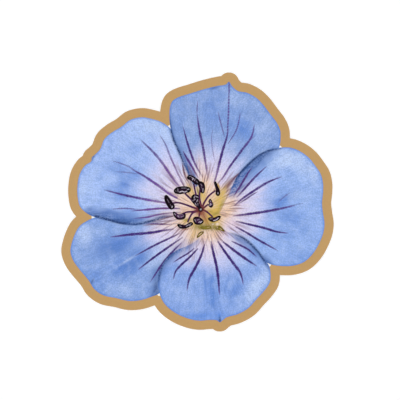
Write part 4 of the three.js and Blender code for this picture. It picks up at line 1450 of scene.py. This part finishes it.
class STICKER_OT_throat(bpy.types.Operator):
    """Add the throat: a wash under the petals, and one that covers the petals' claws"""

    bl_idname = "sticker.add_throat"
    bl_label = "Throat"

    def execute(self, context):
        colours = context.scene.sticker_colours
        bottom, ceiling = levels("throat_cream")
        material = bloom_print("watercolour_print_throat", colours, colours.lilac)
        for name, radius, share_of_height, nodes in THROAT_PRINTS:
            height = share_of_height * (ceiling - bottom)
            throat, start = add_grid(name, THROAT_CELLS, THROAT_CELLS)
            angles = bearings(start)
            reach = np.abs(start).max(axis=1) * (radius + THROAT["swell"] * throat_lobes(angles))
            flat = rays(angles) * reach[:, None] + np.array(THROAT["centre"])
            place_vertices(throat, flat, np.full(len(flat), bottom + height))
            close_below(throat, height)
            paint_bloom(throat)
            finish_piece(throat, material, "ink_cream", *nodes)
        return {"FINISHED"}


class STICKER_OT_sepals(bpy.types.Operator):
    """Add the sepal tips that show between the petals' claws"""

    bl_idname = "sticker.add_sepals"
    bl_label = "Sepal tips"

    def execute(self, context):
        colours = context.scene.sticker_colours
        bottom, _ = levels("throat_cream")
        touches = [("inside", "olive"), ("gleam", "cream")]
        material = dark_print("pen_print_olive", colours.bark, touches, colours)
        for node, outline, strokes, darkness in SEPAL_TIPS:
            tip, disc = outlined(f"{node}_print", outline, bottom, levels(node)[1])
            rim = smooth(*SEPAL_RIM, np.linalg.norm(disc, axis=1))
            paint(tip, "inside", 1 - darkness * rim)
            paint_strokes(tip, "gleam", strokes)
            finish_piece(tip, material, "ink_olive", node)
        return {"FINISHED"}


class STICKER_OT_filaments(bpy.types.Operator):
    """Add the filaments, joined to the style at the heart"""

    bl_idname = "sticker.add_filaments"
    bl_label = "Filaments"

    def execute(self, context):
        sizes = context.scene.sticker_sizes
        colours = context.scene.sticker_colours
        bottom, top = levels("throat_cream")[0], levels("filaments")[1]
        strands = [
            self.add_strand(f"strand_{number}", spline(line), bottom, top, sizes)
            for number, line in enumerate(FILAMENTS)
        ]

        def style(disc):
            return disc * sizes.style_radius / MM, bottom, top

        body, _ = raised_oval("filaments_print", style)
        for strand in strands:
            strand.select_set(True)
        body.select_set(True)
        bpy.context.view_layer.objects.active = body
        bpy.ops.object.join()
        flat = flat_places(body)
        away = np.linalg.norm(flat, axis=1)
        paint(body, "ember", STYLE_EMBER * fade(away, STYLE_EMBER_REACH))
        paint(body, "core", np.exp(-((away / STYLE_CORE_REACH) ** 4)))
        paint(body, "gleam", patch(flat, *STYLE_GLEAM))
        touches = [("ember", "ember"), ("core", "anther"), ("gleam", "gleam")]
        material = dark_print("pen_print_plum", colours.filament, touches, colours)
        finish_piece(body, material, "ink_plum", "filaments")
        return {"FINISHED"}

    def add_strand(self, name, middle, bottom, top, sizes):
        """A filament along its middle line, which narrows from the heart outwards."""
        strand, start = add_grid(name, *FILAMENT_CELLS)
        share = (start[:, 1] + 1) / 2
        ahead = along_line(middle, np.minimum(share + FILAMENT_AIM, 1)) - along_line(
            middle, np.maximum(share - FILAMENT_AIM, 0)
        )
        ahead /= np.linalg.norm(ahead, axis=1)[:, None]
        aside = np.stack([ahead[:, 1], -ahead[:, 0]], axis=1)
        half = sizes.filament_width / MM / 2 * (FILAMENT_START - FILAMENT_LOSS * share)
        flat = along_line(middle, share) + aside * (start[:, 0] * half)[:, None]
        place_vertices(strand, flat, top - (top - bottom) * FILAMENT_FALL * start[:, 0] ** 2)
        close_below(strand, FILAMENT_DEPTH * (top - bottom))
        return strand


class STICKER_OT_anthers(bpy.types.Operator):
    """Add the eleven anthers"""

    bl_idname = "sticker.add_anthers"
    bl_label = "Anthers"

    def execute(self, context):
        colours = context.scene.sticker_colours
        bottom, _ = levels("throat_cream")
        touches = [("plum", "filament"), ("gleam", "gleam")]
        material = dark_print("pen_print_black", colours.anther, touches, colours)
        for number, (outline, plum, gleams) in enumerate(ANTHERS, start=1):
            node = f"anther_{number}"
            pod, disc = outlined(f"{node}_print", outline, bottom, levels(node)[1])
            paint(pod, "plum", plum * (1 - smooth(*ANTHER_RIM, np.linalg.norm(disc, axis=1))))
            paint_strokes(pod, "gleam", gleams)
            finish_piece(pod, material, "ink_black", node)
        return {"FINISHED"}


class STICKER_OT_stage(bpy.types.Operator):
    """Add the floor, the soft lights and the camera"""

    bl_idname = "sticker.add_stage"
    bl_label = "Stage"

    def execute(self, context):
        self.add_floor()
        for azimuth, elevation, share in LIGHTS:
            self.add_light(math.radians(azimuth), math.radians(elevation), share)
        self.add_world(context.scene)
        self.add_camera(context.scene)
        context.scene.view_settings.view_transform = "Standard"
        return {"FINISHED"}

    def add_floor(self):
        """A plain white sweep."""
        select_nothing()
        bpy.ops.mesh.primitive_plane_add(size=FLOOR_WIDTH, location=(0, 0, 0))
        floor = named("floor")
        material, _, shader = new_material("white_paper_sweep", roughness=0.9, gloss=0.1)
        shader.inputs["Base Color"].default_value = FLOOR_TONE
        shader.inputs["Emission Color"].default_value = WHITE
        shader.inputs["Emission Strength"].default_value = FLOOR_GLOW
        floor.data.materials.append(material)

    def add_light(self, turn, lift, share):
        """A square softbox that looks at the sticker and gives a share of the light."""
        place = (
            LIGHT_DISTANCE * math.cos(lift) * math.cos(turn),
            LIGHT_DISTANCE * math.cos(lift) * math.sin(turn),
            LIGHT_DISTANCE * math.sin(lift),
        )
        bpy.ops.object.light_add(
            type="AREA", location=place, rotation=(0, math.pi / 2 - lift, turn)
        )
        lamp = bpy.context.object
        lamp.data.shape = "SQUARE"
        lamp.data.size = LIGHT_WIDTH
        lamp.data.energy = math.pi**2 * LIGHT_DISTANCE**2 * share / math.sin(lift)

    def add_world(self, scene):
        """A dome that is white at the horizon and darker overhead, so that dark ink stays dark."""
        scene.world = bpy.data.worlds.new("studio_dome")
        scene.world.use_nodes = True
        tree = scene.world.node_tree
        place = add_node(tree, "ShaderNodeTexCoord").outputs["Generated"]
        height = add_node(tree, "ShaderNodeSeparateXYZ", {0: place}).outputs["Z"]
        glow = between(tree, height, 0.0, 1.0, 1.0, DOME_OVERHEAD)
        tree.links.new(glow, tree.nodes["Background"].inputs["Strength"])
        tree.nodes["Background"].inputs["Color"].default_value = WHITE

    def add_camera(self, scene):
        """Straight above, with a long lens, as the sticker was pictured."""
        place = (
            (HEART[0] + VIEW_MIDDLE[0]) * MM, (HEART[1] + VIEW_MIDDLE[1]) * MM, CAMERA_HEIGHT,
        )
        bpy.ops.object.camera_add(location=place, rotation=(0, 0, 0))
        camera = bpy.context.object
        camera.data.lens = camera.data.sensor_width * CAMERA_HEIGHT / VIEW_WIDTH
        camera.data.clip_start, camera.data.clip_end = CAMERA_CLIP
        scene.camera = camera


class STICKER_PT_panel(bpy.types.Panel):
    """Lists the steps that build the sticker, and its sizes and colours"""

    bl_label = "Flower sticker"
    bl_idname = "STICKER_PT_panel"
    bl_space_type = "VIEW_3D"
    bl_region_type = "UI"
    bl_category = "Sticker"

    def draw(self, context):
        for step in STEPS:
            self.layout.operator(step.bl_idname)
        for group in (context.scene.sticker_sizes, context.scene.sticker_colours):
            for key in group.__annotations__:
                self.layout.prop(group, key)


STEPS = [
    STICKER_OT_sheets,
    STICKER_OT_margin,
    STICKER_OT_petals,
    STICKER_OT_throat,
    STICKER_OT_sepals,
    STICKER_OT_filaments,
    STICKER_OT_anthers,
    STICKER_OT_stage,
]


def register():
    """Add the sticker's classes and its sizes and colours."""
    for cls in (StickerSizes, StickerColours, *STEPS, STICKER_PT_panel):
        bpy.utils.register_class(cls)
    bpy.types.Scene.sticker_sizes = bpy.props.PointerProperty(type=StickerSizes)
    bpy.types.Scene.sticker_colours = bpy.props.PointerProperty(type=StickerColours)


def unregister():
    """Take out what register added."""
    del bpy.types.Scene.sticker_colours
    del bpy.types.Scene.sticker_sizes
    for cls in (STICKER_PT_panel, *reversed(STEPS), StickerColours, StickerSizes):
        bpy.utils.unregister_class(cls)


def main():
    """Build every piece and the stage."""
    register()
    bpy.ops.sticker.add_sheets()
    bpy.ops.sticker.add_margin()
    bpy.ops.sticker.add_petals()
    bpy.ops.sticker.add_throat()
    bpy.ops.sticker.add_sepals()
    bpy.ops.sticker.add_filaments()
    bpy.ops.sticker.add_anthers()
    bpy.ops.sticker.add_stage()


if __name__ == "__main__":
    main()
